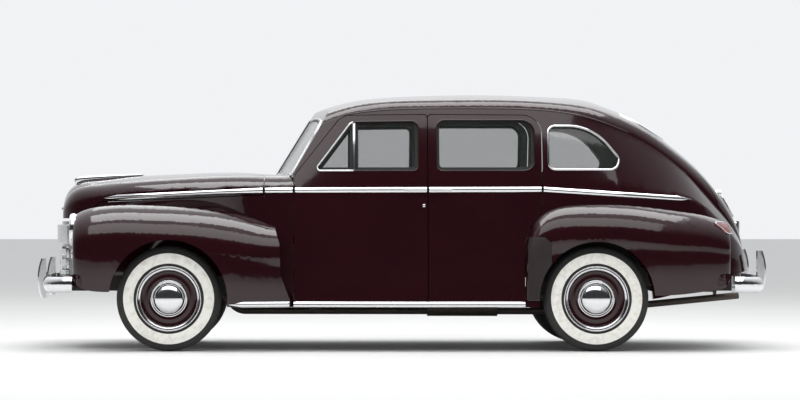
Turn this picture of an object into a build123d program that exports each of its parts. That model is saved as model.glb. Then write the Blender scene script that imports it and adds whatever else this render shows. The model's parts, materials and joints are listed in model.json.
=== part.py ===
from build123d import *
from math import asin, cos, radians, sin
import os

# Closed four-door sedan of the late nineteen-forties. Millimetres.
# +X points forward, +Y to the driver's side, +Z up. The origin is on the ground, at mid length.

# Driving dimensions
overall_length = 5034
wheelbase = 2896
front_axle_x = 1587
rear_axle_x = front_axle_x - wheelbase
front_track = 1473
rear_track = 1524
tyre_radius = 357
tyre_width = 158
wall = 45  # body side, doors and roof, with their lining
panel = 16  # hood, side panels and trunk lid
fender_wall = 14
shut_gap = 6  # round doors, hood and lid
lip_reach = 26  # how far the lips that carry the hood and the lid reach under them
lid_rest_half = 200
seat_gap = 0.3  # between pieces that rest on each other
pane = 6
pane_depth = 14  # from the outer skin in to a side window
back_pane_depth = 17
back_pane_drop = 44
sill_z = 300
door_low_z = 345
door_top_z = 1608
far = 3000  # long enough to pass right through the car

# Body sections. Columns: x, roof z, drip y, drip z, belt y, belt z, side y, lower edge z
body_rows = [
    (905, 1500, 596, 1330, 716, 1088, 775, 300),
    (735, 1572, 604, 1420, 738, 1094, 802, 300),
    (560, 1654, 612, 1517, 757, 1100, 820, 300),
    (300, 1724, 632, 1612, 777, 1106, 836, 300),
    (-175, 1758, 652, 1640, 793, 1110, 845, 300),
    (-700, 1761, 652, 1640, 790, 1110, 842, 300),
    (-1046, 1748, 632, 1616, 772, 1106, 834, 300),
    (-1345, 1710, 596, 1548, 742, 1098, 815, 320),
    (-1617, 1600, 552, 1440, 706, 1086, 785, 350),
    (-1890, 1410, 500, 1262, 656, 1060, 735, 400),
    (-2026, 1298, 470, 1138, 622, 1010, 700, 440),
    (-2175, 1138, 435, 980, 575, 880, 650, 480),
    (-2281, 975, 400, 850, 525, 770, 595, 515),
    (-2345, 840, 350, 740, 460, 690, 510, 535),
    (-2372, 720, 300, 670, 400, 640, 440, 548),
]
flare_height = 160
flare = 26
sill_swell = -0.03  # an arc's swell is a share of its chord
side_swell = 0.014
roof_swell = 0.134
roof_shoulder = 0.145  # how far in from the drip line the roof's shoulder lies, as a share
roof_rise = 0.66

# Hood and cowl sections. Columns: x, crown z, shoulder y, shoulder z, foot y
hood_rows = [
    (700, 1236, 742, 1118, 828),
    (905, 1207, 716, 1118, 790),
    (1060, 1218, 676, 1116, 650),
    (1300, 1220, 606, 1110, 430),
    (1600, 1208, 526, 1096, 405),
    (1900, 1190, 436, 1072, 385),
    (2115, 1168, 345, 1045, 350),
    (2256, 1148, 265, 1010, 290),
    (2325, 1098, 195, 965, 230),
    (2362, 1010, 120, 915, 160),
]
hood_side_swell = 0.02
hood_crown_swell = 0.16
cowl_x = 940
hood_split = [(cowl_x, 1064), (2080, 1018), (2232, 900)]  # side view of the hood's lower edge
apron_z = 506

# Fender sections. Columns: x, crest z, crest y, outer y, lower edge z, inner y, inner z
front_fender_rows = [
    (2240, 880, 690, 800, 540, 250, 800),
    (2222, 926, 690, 852, 470, 260, 825),
    (2160, 960, 690, 896, 425, 290, 850),
    (2000, 988, 695, 922, 405, 330, 865),
    (1800, 992, 698, 927, 400, 400, 870),
    (1587, 985, 700, 927, 390, 450, 868),
    (1371, 968, 706, 925, 350, 520, 862),
    (1135, 930, 716, 915, 300, 620, 845),
    (966, 880, 735, 898, 300, 690, 812),
    (860, 845, 760, 880, 300, 740, 770),
    (760, 830, 780, 858, 300, 770, 740),
]
# The front fender's rear edge seen from the side, with corner radii
fender_edge = [(763, 0, 0), (764, 345, 0), (830, 520, 120), (834, 720, 60), (872, 850, 60), (960, 1100, 0)]
rear_fender_rows = [
    (-838, 700, 820, 862, 345, 740, 690),
    (-862, 800, 818, 876, 345, 740, 790),
    (-915, 895, 812, 893, 345, 740, 885),
    (-1010, 960, 806, 909, 345, 740, 945),
    (-1160, 990, 800, 919, 350, 740, 970),
    (-1309, 995, 796, 922, 360, 720, 975),
    (-1500, 992, 786, 921, 378, 700, 965),
    (-1731, 970, 766, 912, 380, 660, 940),
    (-1950, 940, 736, 880, 395, 600, 905),
    (-2110, 905, 708, 838, 415, 540, 870),
    (-2190, 870, 690, 800, 435, 520, 830),
    (-2225, 820, 680, 760, 520, 520, 780),
]
fender_tuck = 10
front_arch_radius = 400
rear_arch_radius = 388
rear_arch_inner_y = 616

# Windows seen from the side. Columns: x, z, corner radius
front_window = [(600, 1226, 20), (348, 1560, 60), (-109, 1566, 50), (-109, 1226, 40)]
rear_window = [(-228, 1226, 45), (-228, 1572, 60), (-899, 1572, 90), (-899, 1226, 75)]
quarter_window = [(-991, 1233, 50), (-991, 1532, 50), (-1300, 1532, 350), (-1540, 1233, 60)]
vent_bar_x = 330
vent_bar_width = 14

# Windshield: foot and head on the centre line, and how far back the pillars' feet lie
shield_foot = (858, 1222)
shield_head = (619, 1606)
shield_sweep = 112
shield_half = 640

# Back window and trunk lid, seen from behind. Columns: y, z, corner radius
back_window = [(-390, 1452, 70), (390, 1452, 70), (390, 1622, 80), (-390, 1622, 80)]
lid_outline = [
    (-340, 620, 60),
    (340, 620, 60),
    (425, 1000, 200),
    (385, 1352, 80),
    (-385, 1352, 80),
    (-425, 1000, 200),
]

# Doors seen from the side. The rear door's lower corner follows the rear fender's leading edge.
door_front_x = 737
door_gap_x = -170
door_rear_x = -945
front_door_outline = [
    (door_front_x, door_low_z, 25),
    (door_front_x, 1190, 60),
    (410, door_top_z - 6, 110),
    (door_gap_x + shut_gap / 2, door_top_z, 25),
    (door_gap_x + shut_gap / 2, door_low_z, 25),
]
rear_door_outline = [
    (door_gap_x - shut_gap / 2, door_low_z, 25),
    (door_gap_x - shut_gap / 2, door_top_z, 25),
    (door_rear_x, door_top_z - 6, 130),
    (door_rear_x, 990, 60),
    (-880, 880, 120),
    (-826, 740, 80),
    (-826, door_low_z, 25),
]
# Deeper in than the first, the doors' edges lie back by the second at the middle post and the third at the top
edge_step = (15, 5, 12)
# The post between the doors: half its width, and depths in from the skin's chord
post_half = 60
post_joint = 38
post_depth = (58, 96)
post_end = 12  # how much deeper its outer face lies at the sill and the header
handle_length = 150
handle_inset = 10
handle_z = 1096
handle_stand = 42

# Nose, grille and lamps
nose_x = 2372
nose_half = 560
nose_sweep = 120
nose_radius = (nose_half**2 + nose_sweep**2) / (2 * nose_sweep)
nose_z = (430, 880)
nose_wall = 16
nose_back = 2241
grille_opening = (456, 499, 706)
# Columns: half width, low z, high z, front x
grille_bars = [
    (530, 728, 856, 2405),
    (446, 650, 690, 2390),
    (446, 577, 617, 2390),
    (446, 503, 543, 2390),
]
bar_depth = 22
lamp_y = 662
lamp_z = 823
lamp_radius = 108
lamp_x = 2226
lamp_depth = 34
bezel_width = 16
lens_rise = 18
tail_lamp_y = (700, 776)
tail_lamp_z = (798, 876)
tail_lamp_x = -2120
lamp_stand = 12

# Bumpers. Columns: low z, middle x, corner x and y, end x and y, guard y, guard's foot below the bar's middle
front_bumper = (406, 2480, 2428, 760, 2234, 919, 356, 105)
rear_bumper = (406, 2480, 2434, 760, 2237, 900, 412, 50)
bumper_height = 100
bumper_depth = 24
guard_width = 62
guard_height = 272
guard_depth = 62
guard_bow = 24
guard_round = 14
bracket_width = 20
bracket_z = (-19, 23)  # from the bar's lower edge

# Chassis
rail_y = 352
chassis_end = 2285
rail_width = 62
rail_height = 100
rail_mid_z = 300
rail_front_z = 400
rail_rear_z = 474
rail_tail_z = 400
member_depth = 32
floor_wall = 18
trunk_floor_z = 576
kingpin_y = 640
kingpin_radius = 17
knuckle_radius = 30
spindle_radius = 22
running_gap = 0.08
axle_tube_radius = 38
torque_tube_z = 350
gearbox_back = 500

# Wheels, measured from the wheel's centre: radii, and offsets outwards along the axle
rim_radius = 205
rim_half = 62
flange_radius = 223
ring_inner_radius = 184
cap_radius = 126
drum_radius = 140

# Cabin
steer_y = 375
steer_centre = (330, 1010)
steer_radius = 215
rim_grip = 11
steer_lean = 32  # degrees below level, going forward
front_seat_half = 640
rear_seat_half = 600

made = {}


def at(x, y, z):
    return Vector(x, y, z)


def mirrored(point):
    return Vector(point.X, -point.Y, point.Z)


def arc(a, b, share, inward):
    """Arc from a to b across the car whose middle stands out from the chord by a share of it."""
    middle = (a + b) * 0.5
    out = Vector(0, b.Z - a.Z, a.Y - b.Y)
    if out.dot(middle - inward) < 0:
        out = out * -1
    return Edge.make_three_point_arc(a, middle + out * share, b)


def cross_section(points, swells, crown):
    """Closed wire across the car. The points run up one side, and crown closes it at the middle."""
    inward = at(crown.X, 0, 0.5 * (points[0].Z + crown.Z))
    sides = list(zip(points, points[1:], swells))
    edges = [Edge.make_line(mirrored(points[0]), points[0])]
    edges += [arc(a, b, share, inward) for a, b, share in sides]
    edges.append(Edge.make_three_point_arc(points[-1], crown, mirrored(points[-1])))
    edges += [arc(mirrored(b), mirrored(a), share, inward) for a, b, share in reversed(sides)]
    return Wire(edges)


def body_section(x, roof, drip_y, drip_z, belt_y, belt_z, side_y, low_z, inset):
    side_z = low_z + min(flare_height, 0.4 * (belt_z - low_z))
    below = 60 if inset > 0 else 0
    points = [
        at(x, side_y + flare - inset, low_z - below),
        at(x, side_y - inset, side_z),
        at(x, belt_y - inset, belt_z),
        at(x, drip_y - inset, drip_z - inset),
        at(x, (drip_y - inset) * (1 - roof_shoulder), drip_z - inset + roof_rise * (roof - drip_z)),
    ]
    swells = [sill_swell, side_swell, side_swell, roof_swell]
    return cross_section(points, swells, at(x, 0, roof - inset))


def hood_section(x, crown, shoulder_y, shoulder_z, foot_y, inset):
    points = [
        at(x, foot_y - inset, sill_z - (60 if inset > 0 else 0)),
        at(x, shoulder_y - inset, shoulder_z - inset),
        at(x, (shoulder_y - inset) * 0.62, shoulder_z - inset + 0.72 * (crown - shoulder_z)),
    ]
    return cross_section(points, [hood_side_swell, hood_crown_swell], at(x, 0, crown - inset))


def fender_section(x, crest_z, crest_y, outer_y, low_z, inner_y, inner_z, inset):
    reach = 80 if inset > 0 else 0
    inward = at(x, 0.5 * (outer_y + inner_y), low_z)
    foot = at(x, outer_y - fender_tuck - inset, low_z - reach)
    side = at(x, outer_y - inset, low_z + 0.52 * (crest_z - low_z))
    crest = at(x, crest_y, crest_z - inset)
    inner = at(x, inner_y - reach, inner_z - inset)
    heel = at(x, inner_y - reach, low_z - reach)
    return Wire(
        [
            arc(foot, side, 0.03, inward),
            arc(side, crest, 0.17, inward),
            arc(crest, inner, 0.06, inward),
            Edge.make_line(inner, heel),
            Edge.make_line(heel, foot),
        ]
    )


# Name, section, table, and how the first and last stations move with the inset at a closed end
forms = {
    "body": (body_section, body_rows, 0, 0),
    "hood": (hood_section, hood_rows, 0, -1),
    "front fender": (fender_section, front_fender_rows, -1, 1),
    "rear fender": (fender_section, rear_fender_rows, -1, 1),
}


def form(name, inset=0.0):
    """Solid loft through one table's sections, moved inwards by inset. Each is made once."""
    if (name, inset) not in made:
        section, rows, first, last = forms[name]
        ends = [first * inset] + [0] * (len(rows) - 2) + [last * inset]
        wires = [section(row[0] + end, *row[1:], inset) for row, end in zip(rows, ends)]
        made[name, inset] = Solid.make_loft(wires)
    return made[name, inset]


def block(x, y, z):
    """Box from three pairs of limits."""
    size = [max(pair) - min(pair) for pair in (x, y, z)]
    middle = [0.5 * (pair[0] + pair[1]) for pair in (x, y, z)]
    return Pos(*middle) * Box(*size)


def layer(name, outer, inner, within):
    """The part of a form's skin between two insets that lies within a solid."""
    return (within & form(name, outer)) - form(name, inner)


def flat_outline(rows, place):
    """Flat face through rows of two coordinates and a corner radius."""
    corners = [place(u, v) for u, v, _ in rows]
    face = Face(Wire.make_polygon(corners, close=True))
    for corner, (_, _, radius) in zip(corners, rows):
        if radius:
            nearest = min(face.vertices(), key=lambda vertex: (vertex.center() - corner).length)
            face = face.fillet_2d(radius, [nearest])
    return face


def side_prism(rows, y_from=-far, y_to=far):
    """Outline seen from the side, as x, z and corner radius, carried from y_from to y_to."""
    face = flat_outline(rows, lambda x, z: at(x, y_from, z))
    return Solid.extrude(face, Vector(0, y_to - y_from, 0))


def end_prism(rows, x_from, x_to):
    """Outline seen along the car, as y, z and corner radius, carried from x_from to x_to."""
    face = flat_outline(rows, lambda y, z: at(x_from, y, z))
    return Solid.extrude(face, Vector(x_to - x_from, 0, 0))


def grown(rows, by):
    """Outline moved outwards by a distance, or inwards where it is negative, with its radii."""
    flat = Wire.make_polygon([Vector(u, v, 0) for u, v, _ in rows], close=True)
    moved = [flat.offset_2d(by, kind=Kind.INTERSECTION)]
    corners = [vertex.center() for wire in moved for vertex in wire.vertices()]
    result = []
    for u, v, radius in rows:
        corner = min(corners, key=lambda c: (c - Vector(u, v, 0)).length)
        result.append((corner.X, corner.Y, max(radius + by, 1) if radius else 0))
    return result


def solids(shape):
    return list(shape.solids())


def both(*shapes):
    """Each solid and its mirror image across the car."""
    found = [solid for shape in shapes for solid in solids(shape)]
    return found + [solid for each in found for solid in solids(mirror(each, about=Plane.XZ))]


def fused(first, *others):
    for other in others:
        first = first + other
    return first


def save(name, *shapes):
    found = [solid for shape in shapes for solid in solids(shape)]
    whole = found[0] if len(found) == 1 else Compound(children=found)
    export_step(whole, f"parts/{name}.step")


def cylinder_y(x, z, radius, y_from, y_to):
    disc = Face(Wire.make_circle(radius, Plane(origin=(x, y_from, z), z_dir=(0, 1, 0))))
    return Solid.extrude(disc, Vector(0, y_to - y_from, 0))


def rod(start, end, radius):
    start = Vector(*start)
    run = Vector(*end) - start
    disc = Face(Wire.make_circle(radius, Plane(origin=start, z_dir=run)))
    return Solid.extrude(disc, run)


def shield_slab(depth_from, depth_to):
    """Space between two depths behind the windshield's outer planes, above the cowl."""
    halves = []
    for side in (1, -1):
        foot = at(shield_foot[0], 0, shield_foot[1])
        head = at(shield_head[0], 0, shield_head[1])
        post = at(shield_foot[0] - shield_sweep, side * shield_half, shield_foot[1])
        across = (post - foot).normalized()
        normal = across.cross(head - foot).normalized()
        if normal.X < 0:
            normal = normal * -1
        plane = Plane(origin=foot, x_dir=across, z_dir=normal)
        depth = depth_to - depth_from
        slab = plane * Pos(0, 0, -0.5 * (depth_from + depth_to)) * Box(far, far, depth)
        halves.append(slab & block((0, far), (0, side * far), (1000, 2200)))
    return halves


def make_body_shell():
    cabin = form("body", wall) & block((-2342, far), (-far, far), (0, far))
    ahead = block((door_front_x + 8, far), (-far, far), (0, 1195))
    doors = [side_prism(grown(outline, shut_gap)) for outline in (front_door_outline, rear_door_outline)]
    windows = [side_prism(quarter_window), end_prism(back_window, -1480, -2000)]
    trunk = end_prism(grown(lid_outline, shut_gap), -1850, -2500)
    arches = both(cylinder_y(rear_axle_x, tyre_radius, rear_arch_radius, rear_arch_inner_y, 1200))
    upper = form("body") - [cabin, ahead, *shield_slab(-1500, 0), *doors, *windows, trunk, *arches]
    cowl = layer("hood", 0, wall, block((door_front_x, cowl_x), (-far, far), (sill_z, 1400)))
    back_x = shield_foot[0] - 70
    opening = [(back_x, 1100, 0), (back_x, 1400, 0), (600, 1400, 0), (600, 1100, 0)]
    cowl = cowl - [side_prism(opening, -560, 560), doors[0]]
    firewall = form("hood", wall - 1) & block((cowl_x - 14, cowl_x), (-far, far), (sill_z + 120, 1400))
    lip_space = block((cowl_x - 1, cowl_x + lip_reach), (-far, far), (hood_split[0][1] + 10, 1400))
    hood_lip = layer("hood", panel + seat_gap, wall, lip_space)
    top_z = lid_outline[3][1]
    rest_space = block((-2050, -1850), (-lid_rest_half, lid_rest_half), (top_z - lip_reach, top_z + 16))
    lid_rest = layer("body", panel + seat_gap, wall - 1, rest_space)
    return upper + [cowl, firewall, hood_lip, lid_rest, *door_posts()]


def door_posts():
    """Posts behind the gap between the doors. They meet the header and the sill past the openings."""
    _, _, drip_y, drip_z, belt_y, belt_z, side_y, low_z = table_row(door_gap_x)
    side_z = low_z + flare_height
    skin = [(side_y + flare, low_z), (side_y, side_z), (belt_y, belt_z), (drip_y, drip_z)]
    low, high = door_low_z - shut_gap - 1, door_top_z + shut_gap + 1
    y_low = side_y + flare * (side_z - low) / flare_height
    y_high = drip_y + (belt_y - drip_y) * (drip_z - high) / (drip_z - belt_z)
    outer = [
        (skin[0][0] - post_joint, low_z),
        (y_low - post_joint, low),
        (y_low - post_depth[0] - post_end, low),
        (skin[1][0] - post_depth[0], side_z),
        (skin[2][0] - post_depth[0], belt_z),
        (y_high - post_depth[0] - post_end, high),
        (y_high - post_joint, high),
        (skin[3][0] - post_joint, drip_z),
    ]
    inner = [(y - post_depth[1], z) for y, z in reversed(skin)]
    rows = [(y, z, 0) for y, z in outer + inner]
    return both(end_prism(rows, door_gap_x - post_half, door_gap_x + post_half))


def make_doors():
    doors = {}
    depth, back, down = edge_step
    for name, way, outline, window in (
        ("front", 1, front_door_outline, front_window),
        ("rear", -1, rear_door_outline, rear_window),
    ):
        door = layer("body", 0, wall, side_prism(outline, 300, far))
        edge = (door_gap_x, door_gap_x + way * (shut_gap / 2 + back))
        spaces = [
            block(edge, (300, far), (sill_z, 1700)),
            block((door_rear_x, door_front_x), (300, far), (door_top_z - down, 1700)),
        ]
        steps = [form("body", depth) & space for space in spaces]
        doors[name] = door - [side_prism(window, 300, far), *steps]
    return doors


def table_row(x):
    """Body section values at x, between the two nearest stations."""
    for a, b in zip(body_rows, body_rows[1:]):
        if b[0] <= x <= a[0]:
            share = (a[0] - x) / (a[0] - b[0])
            return [one + (other - one) * share for one, other in zip(a, b)]
    return list(body_rows[0])


def side_point(x, z, depth):
    """Point a depth inside the body's side, between the belt and the drip line."""
    _, _, drip_y, drip_z, belt_y, belt_z, _, _ = table_row(x)
    return at(x, belt_y + (drip_y - belt_y) * (z - belt_z) / (drip_z - belt_z) - depth, z)


def side_pane(outline):
    """Flat pane of a side window, set through three points inside the wall."""
    low = min(z for _, z, _ in outline)
    ends = [max(x for x, _, _ in outline), min(x for x, _, _ in outline)]
    top = max(outline, key=lambda row: row[1])
    front, rear = (side_point(x, low, pane_depth) for x in ends)
    across = (rear - front).normalized()
    normal = across.cross(side_point(top[0], top[1], pane_depth) - front).normalized()
    if normal.Y < 0:
        normal = normal * -1
    slab = Plane(origin=front, x_dir=across, z_dir=normal) * Pos(0, 0, -pane / 2) * Box(far, far, pane)
    return slab & side_prism(grown(outline, -seat_gap), 300, far)


def roof_x(z):
    """Where the tail's centre line passes a height."""
    for a, b in zip(body_rows, body_rows[1:]):
        if b[1] <= z <= a[1] and b[1] < a[1]:
            return a[0] + (b[0] - a[0]) * (a[1] - z) / (a[1] - b[1])
    return body_rows[-1][0]


def back_pane():
    """Back window's pane: curved across the car and straight down the tail."""
    half, low = back_window[1][0], back_window[0][1]
    high = back_window[2][1]
    run = at(roof_x(low), 0, low) - at(roof_x(high), 0, high)
    out = Vector(run.Z, 0, -run.X).normalized()
    start = at(roof_x(high), 0, high) - run
    arcs = []
    for depth in (back_pane_depth, back_pane_depth + pane):
        crown = start - out * depth
        ends = [crown - out * back_pane_drop + Vector(0, side * (half + 60), 0) for side in (-1, 1)]
        arcs.append(Edge.make_three_point_arc(ends[0], crown, ends[1]))
    joins = [Edge.make_line(arcs[0] @ 1, arcs[1] @ 1), Edge.make_line(arcs[1] @ 0, arcs[0] @ 0)]
    slab = Solid.extrude(Face(Wire([arcs[0], joins[0], arcs[1], joins[1]])), run * 3)
    return slab & end_prism(grown(back_window, -seat_gap), -1480, -2000)


def make_door_glass():
    return {"front": side_pane(front_window) - vent_bar(), "rear": side_pane(rear_window)}


def vent_bar():
    """Division bar of the vent window, from its belt to its head."""
    edge = vent_bar_width / 2 + seat_gap
    return block((vent_bar_x - edge, vent_bar_x + edge), (300, far), (1000, 1700))


def handle(x_from, x_to):
    """Door handle: two feet on the door and a bar that stands off it."""
    skin = form("body", -seat_gap)
    feet = []
    for x in (x_from + 16, x_to - 16):
        feet.append(rod((x, 700, handle_z), (x, 790 + handle_stand, handle_z), 9) - skin)
    y = 790 + handle_stand
    grip = rod((x_from, y, handle_z), (x_to, y, handle_z), 10)
    return fused(grip, *feet)


def make_door_trim():
    front, rear = door_gap_x + handle_inset, door_gap_x - handle_inset
    trims = {"front": [handle(front, front + handle_length)], "rear": [handle(rear - handle_length, rear)]}
    edge = vent_bar_width / 2
    space = block((vent_bar_x - edge, vent_bar_x + edge), (300, far), (1000, 1700))
    space = space & side_prism(grown(front_window, -seat_gap), 300, far)
    trims["front"].append(layer("body", 6, 38, space))
    return trims


def hood_space(lift):
    """Side view of what lies above the hood's lower edge, moved up by lift."""
    rows = [(x, z + lift, 0) for x, z in hood_split]
    rows[0] = (cowl_x + shut_gap, rows[0][1], 0)
    ends = [(far, rows[-1][1], 0), (far, 2000, 0), (cowl_x + shut_gap, 2000, 0)]
    return rows + ends


def side_panel_space():
    rows = [(x, z - shut_gap, 0) for x, z in hood_split]
    rows[0] = (cowl_x + seat_gap, rows[0][1], 0)
    return rows + [(far, rows[-1][1], 0), (far, apron_z, 0), (cowl_x + seat_gap, apron_z, 0)]


def make_hood():
    return layer("hood", 0, panel, side_prism(hood_space(0)))


def make_side_panels():
    space = side_prism(side_panel_space()) & block((0, nose_back - 1), (-far, far), (0, far))
    return layer("hood", 0, panel, space)


def make_hood_trim():
    top = [(2292, 1166, 12), (2284, 1186, 8), (2150, 1224, 80), (1900, 1217, 60)]
    ornament = side_prism([(1790, 1190, 0), (2262, 1100, 0)] + top, -9, 9) - form("hood", -seat_gap)
    return [max(solids(ornament), key=lambda s: s.volume)]


def make_front_fenders():
    ahead = [(far, 1100, 0), (far, 0, 0)]
    space = side_prism(fender_edge + ahead, 200, 1200)
    hollow = side_prism([(x + fender_wall, z, radius) for x, z, radius in fender_edge] + ahead, 200, 1200)
    fender = (form("front fender") & space) - (form("front fender", fender_wall) & hollow)
    fender -= form("hood", -seat_gap)
    rail_space = (rail_y - rail_width / 2 - shut_gap, rail_y + rail_width / 2 + shut_gap)
    fender -= block((0, far), rail_space, (0, rail_front_z + rail_height + shut_gap))
    fender -= cylinder_y(front_axle_x, tyre_radius, front_arch_radius, 300, 1200)
    return both(max(solids(fender), key=lambda s: s.volume))


def make_rear_fenders():
    fender = form("rear fender") - form("rear fender", fender_wall)
    fender -= form("body", -seat_gap)
    fender -= cylinder_y(rear_axle_x, tyre_radius, rear_arch_radius, 300, 1200)
    return both(max(solids(fender), key=lambda s: s.volume))


def plan_band(front_x, half, sweep, depth, z):
    """Bar that bows forward across the car, seen from above, between two heights."""
    outer = Edge.make_three_point_arc(
        at(front_x - sweep, -half, z[0]), at(front_x, 0, z[0]), at(front_x - sweep, half, z[0])
    )
    inner = Edge.make_three_point_arc(
        at(front_x - sweep - depth, half, z[0]),
        at(front_x - depth, 0, z[0]),
        at(front_x - sweep - depth, -half, z[0]),
    )
    ends = [Edge.make_line(outer @ 1, inner @ 0), Edge.make_line(inner @ 1, outer @ 0)]
    return Solid.extrude(Face(Wire([outer, ends[0], inner, ends[1]])), Vector(0, 0, z[1] - z[0]))


def make_nose_panel():
    nose = plan_band(nose_x, nose_half, nose_sweep, nose_wall, nose_z)
    half, low, high = grille_opening
    nose -= end_prism([(-half, low, 20), (half, low, 20), (half, high, 20), (-half, high, 20)], 2000, far)
    top = nose_z[1]
    ends = [at(nose_x - nose_sweep, side * nose_half, top - nose_wall) for side in (-1, 1)]
    heel = [at(nose_back, side * nose_half, top - nose_wall) for side in (1, -1)]
    front = Edge.make_three_point_arc(ends[0], at(nose_x, 0, top - nose_wall), ends[1])
    corners = [ends[1], heel[0], heel[1], ends[0]]
    rest = [Edge.make_line(a, b) for a, b in zip(corners, corners[1:])]
    nose += Solid.extrude(Face(Wire([front, *rest])), Vector(0, 0, nose_wall))
    for side in (1, -1):
        for fender in solids(form("front fender", -seat_gap)):
            nose -= fender if side > 0 else mirror(fender, about=Plane.XZ)
        notch = (side * rail_y - bracket_width / 2 - 3, side * rail_y + bracket_width / 2 + 3)
        nose -= block((2000, far), notch, (0, front_bumper[0] + bracket_z[1] + 3))
        hole = (side * lamp_y, lamp_z, lamp_radius + seat_gap)
        nose -= lamp_disc(lamp_x - 4 * lamp_depth, *hole, 8 * lamp_depth)
    return max(solids(nose), key=lambda s: s.volume)


def bar_sweep(half):
    """How far a grille bar's ends lie behind its middle, so that it keeps the nose's curve."""
    return nose_radius - (nose_radius**2 - half**2) ** 0.5


def make_grille():
    half, low, high, front = grille_bars[0]
    upper = plan_band(front, half, bar_sweep(half), front - nose_x - seat_gap, (low, high))
    lower = []
    for half, low, high, front in grille_bars[1:]:
        lower.append(plan_band(front, half, bar_sweep(half), bar_depth, (low, high)))
    posts = []
    for y in (-300, 0, 300):
        x = nose_x - bar_sweep(abs(y)) - nose_wall
        reach = (grille_opening[1] + seat_gap, grille_opening[2] - seat_gap)
        posts.append(block((x, x + 22), (y - 12, y + 12), reach))
    return [upper, fused(posts[0], *lower, *posts[1:])]


def lamp_disc(x, y, z, radius, depth):
    disc = Face(Wire.make_circle(radius, Plane(origin=(x, y, z), z_dir=(1, 0, 0))))
    return Solid.extrude(disc, Vector(depth, 0, 0))


def lens(x, y, z, radius, thick, rise):
    """Round lens from x forwards: a disc with a part of a ball on its front."""
    ball = (radius**2 + rise**2) / (2 * rise)
    centre = x + thick + rise - ball
    half_angle = 0.5 * asin(radius / ball)
    rim = at(x + thick, y, z + radius)
    crown = at(x + thick + rise, y, z)
    halfway = at(centre + ball * cos(half_angle), y, z + ball * sin(half_angle))
    corners = [crown, at(x, y, z), at(x, y, z + radius), rim]
    edges = [Edge.make_line(a, b) for a, b in zip(corners, corners[1:])]
    edges.append(Edge.make_three_point_arc(rim, halfway, crown))
    return Solid.revolve(Face(Wire(edges)), 360, Axis((0, y, z), (1, 0, 0)))


def make_lamps():
    bezels, lenses = [], []
    inner = lamp_radius - bezel_width
    ring = lamp_disc(lamp_x - lamp_depth, lamp_y, lamp_z, lamp_radius, 2 * lamp_depth)
    ring -= lamp_disc(lamp_x - lamp_depth, lamp_y, lamp_z, inner, 2 * lamp_depth)
    bezels += both(ring - form("front fender", -seat_gap))
    lenses += both(lens(lamp_x + 16, lamp_y, lamp_z, inner - seat_gap, 8, lens_rise))
    return bezels, lenses


def make_tail_lamps():
    y_low, y_high = tail_lamp_y
    z_low, z_high = tail_lamp_z
    rows = [(y_low, z_low, 16), (y_high, z_low, 16), (y_high, z_high, 16), (y_low, z_high, 16)]
    lens = layer("rear fender", -lamp_stand, -seat_gap, end_prism(rows, tail_lamp_x, -far))
    return both(max(solids(lens), key=lambda s: s.volume))


def make_bumper(spec, ahead):
    """Bumper with its guards and brackets. ahead is 1 at the front of the car and -1 at the rear."""
    low, middle, corner_x, corner_y, end_x, end_y, guard_y, guard_drop = spec
    level = low + bumper_height / 2
    left = at(ahead * corner_x, corner_y, level)
    main = Edge.make_three_point_arc(mirrored(left), at(ahead * middle, 0, level), left)
    tip = Edge.make_tangent_arc(left, main % 1, at(ahead * end_x, end_y, level))
    start = Edge.make_three_point_arc(mirrored(tip @ 1), mirrored(tip @ 0.5), mirrored(tip @ 0))
    path = Wire([start, main, tip])
    along = path % 0
    out = Vector(along.Y, -along.X, 0) * ahead
    origin = path @ 0
    back = out * (-bumper_depth / 2)
    up = Vector(0, 0, bumper_height / 2)
    profile = Wire(
        [
            Edge.make_line(origin + back - up, origin + back + up),
            Edge.make_three_point_arc(origin + back + up, origin - back, origin + back - up),
        ]
    )
    bar = Solid.sweep(Face(profile), path)
    front = ahead * overall_length / 2
    foot = level - guard_drop
    head = foot + guard_height
    back = front - ahead * guard_depth
    lip = front - ahead * guard_bow
    pieces = []
    for side in (1, -1):
        y = side * guard_y - guard_width / 2
        corners = [at(lip, y, foot), at(back, y, foot), at(back, y, head), at(lip, y, head)]
        edges = [Edge.make_line(a, b) for a, b in zip(corners, corners[1:])]
        edges.append(Edge.make_three_point_arc(corners[3], at(front, y, 0.5 * (foot + head)), corners[0]))
        guard = Solid.extrude(Face(Wire(edges)), Vector(0, guard_width, 0))
        pieces.append(guard.fillet(guard_round, guard.edges().filter_by(GeomType.CIRCLE)))
        inner_y = side * rail_y
        reach = (ahead * (chassis_end + seat_gap), ahead * (middle - 14))
        across = (inner_y - bracket_width / 2, inner_y + bracket_width / 2)
        pieces.append(block(reach, across, (low + bracket_z[0], low + bracket_z[1])))
    return fused(bar, *pieces)


def make_frame():
    low = [
        (chassis_end, rail_front_z),
        (1250, rail_front_z),
        (1080, rail_mid_z),
        (-900, rail_mid_z),
        (-1080, rail_rear_z),
        (-1640, rail_rear_z),
        (-1800, rail_tail_z),
        (-chassis_end, rail_tail_z),
    ]
    rows = [(x, z, 0) for x, z in low] + [(x, z + rail_height, 0) for x, z in reversed(low)]
    rail = side_prism(rows, rail_y - rail_width / 2, rail_y + rail_width / 2)
    other = side_prism(rows, -rail_y - rail_width / 2, -rail_y + rail_width / 2)
    reach = rail_y
    members = [
        block((2030, 2110), (-reach, reach), (rail_front_z, rail_front_z + rail_height)),
        block((1550, 1625), (-reach, reach), (rail_front_z, rail_front_z + 38)),
        block((560, 640), (-reach, reach), (rail_mid_z - member_depth, rail_mid_z + 1)),
        block((-1440, -1360), (-reach, reach), (rail_rear_z, rail_rear_z + rail_height)),
        block((-chassis_end, 70 - chassis_end), (-reach, reach), (rail_tail_z, rail_tail_z + 60)),
    ]
    return fused(rail, other, *members)


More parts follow.
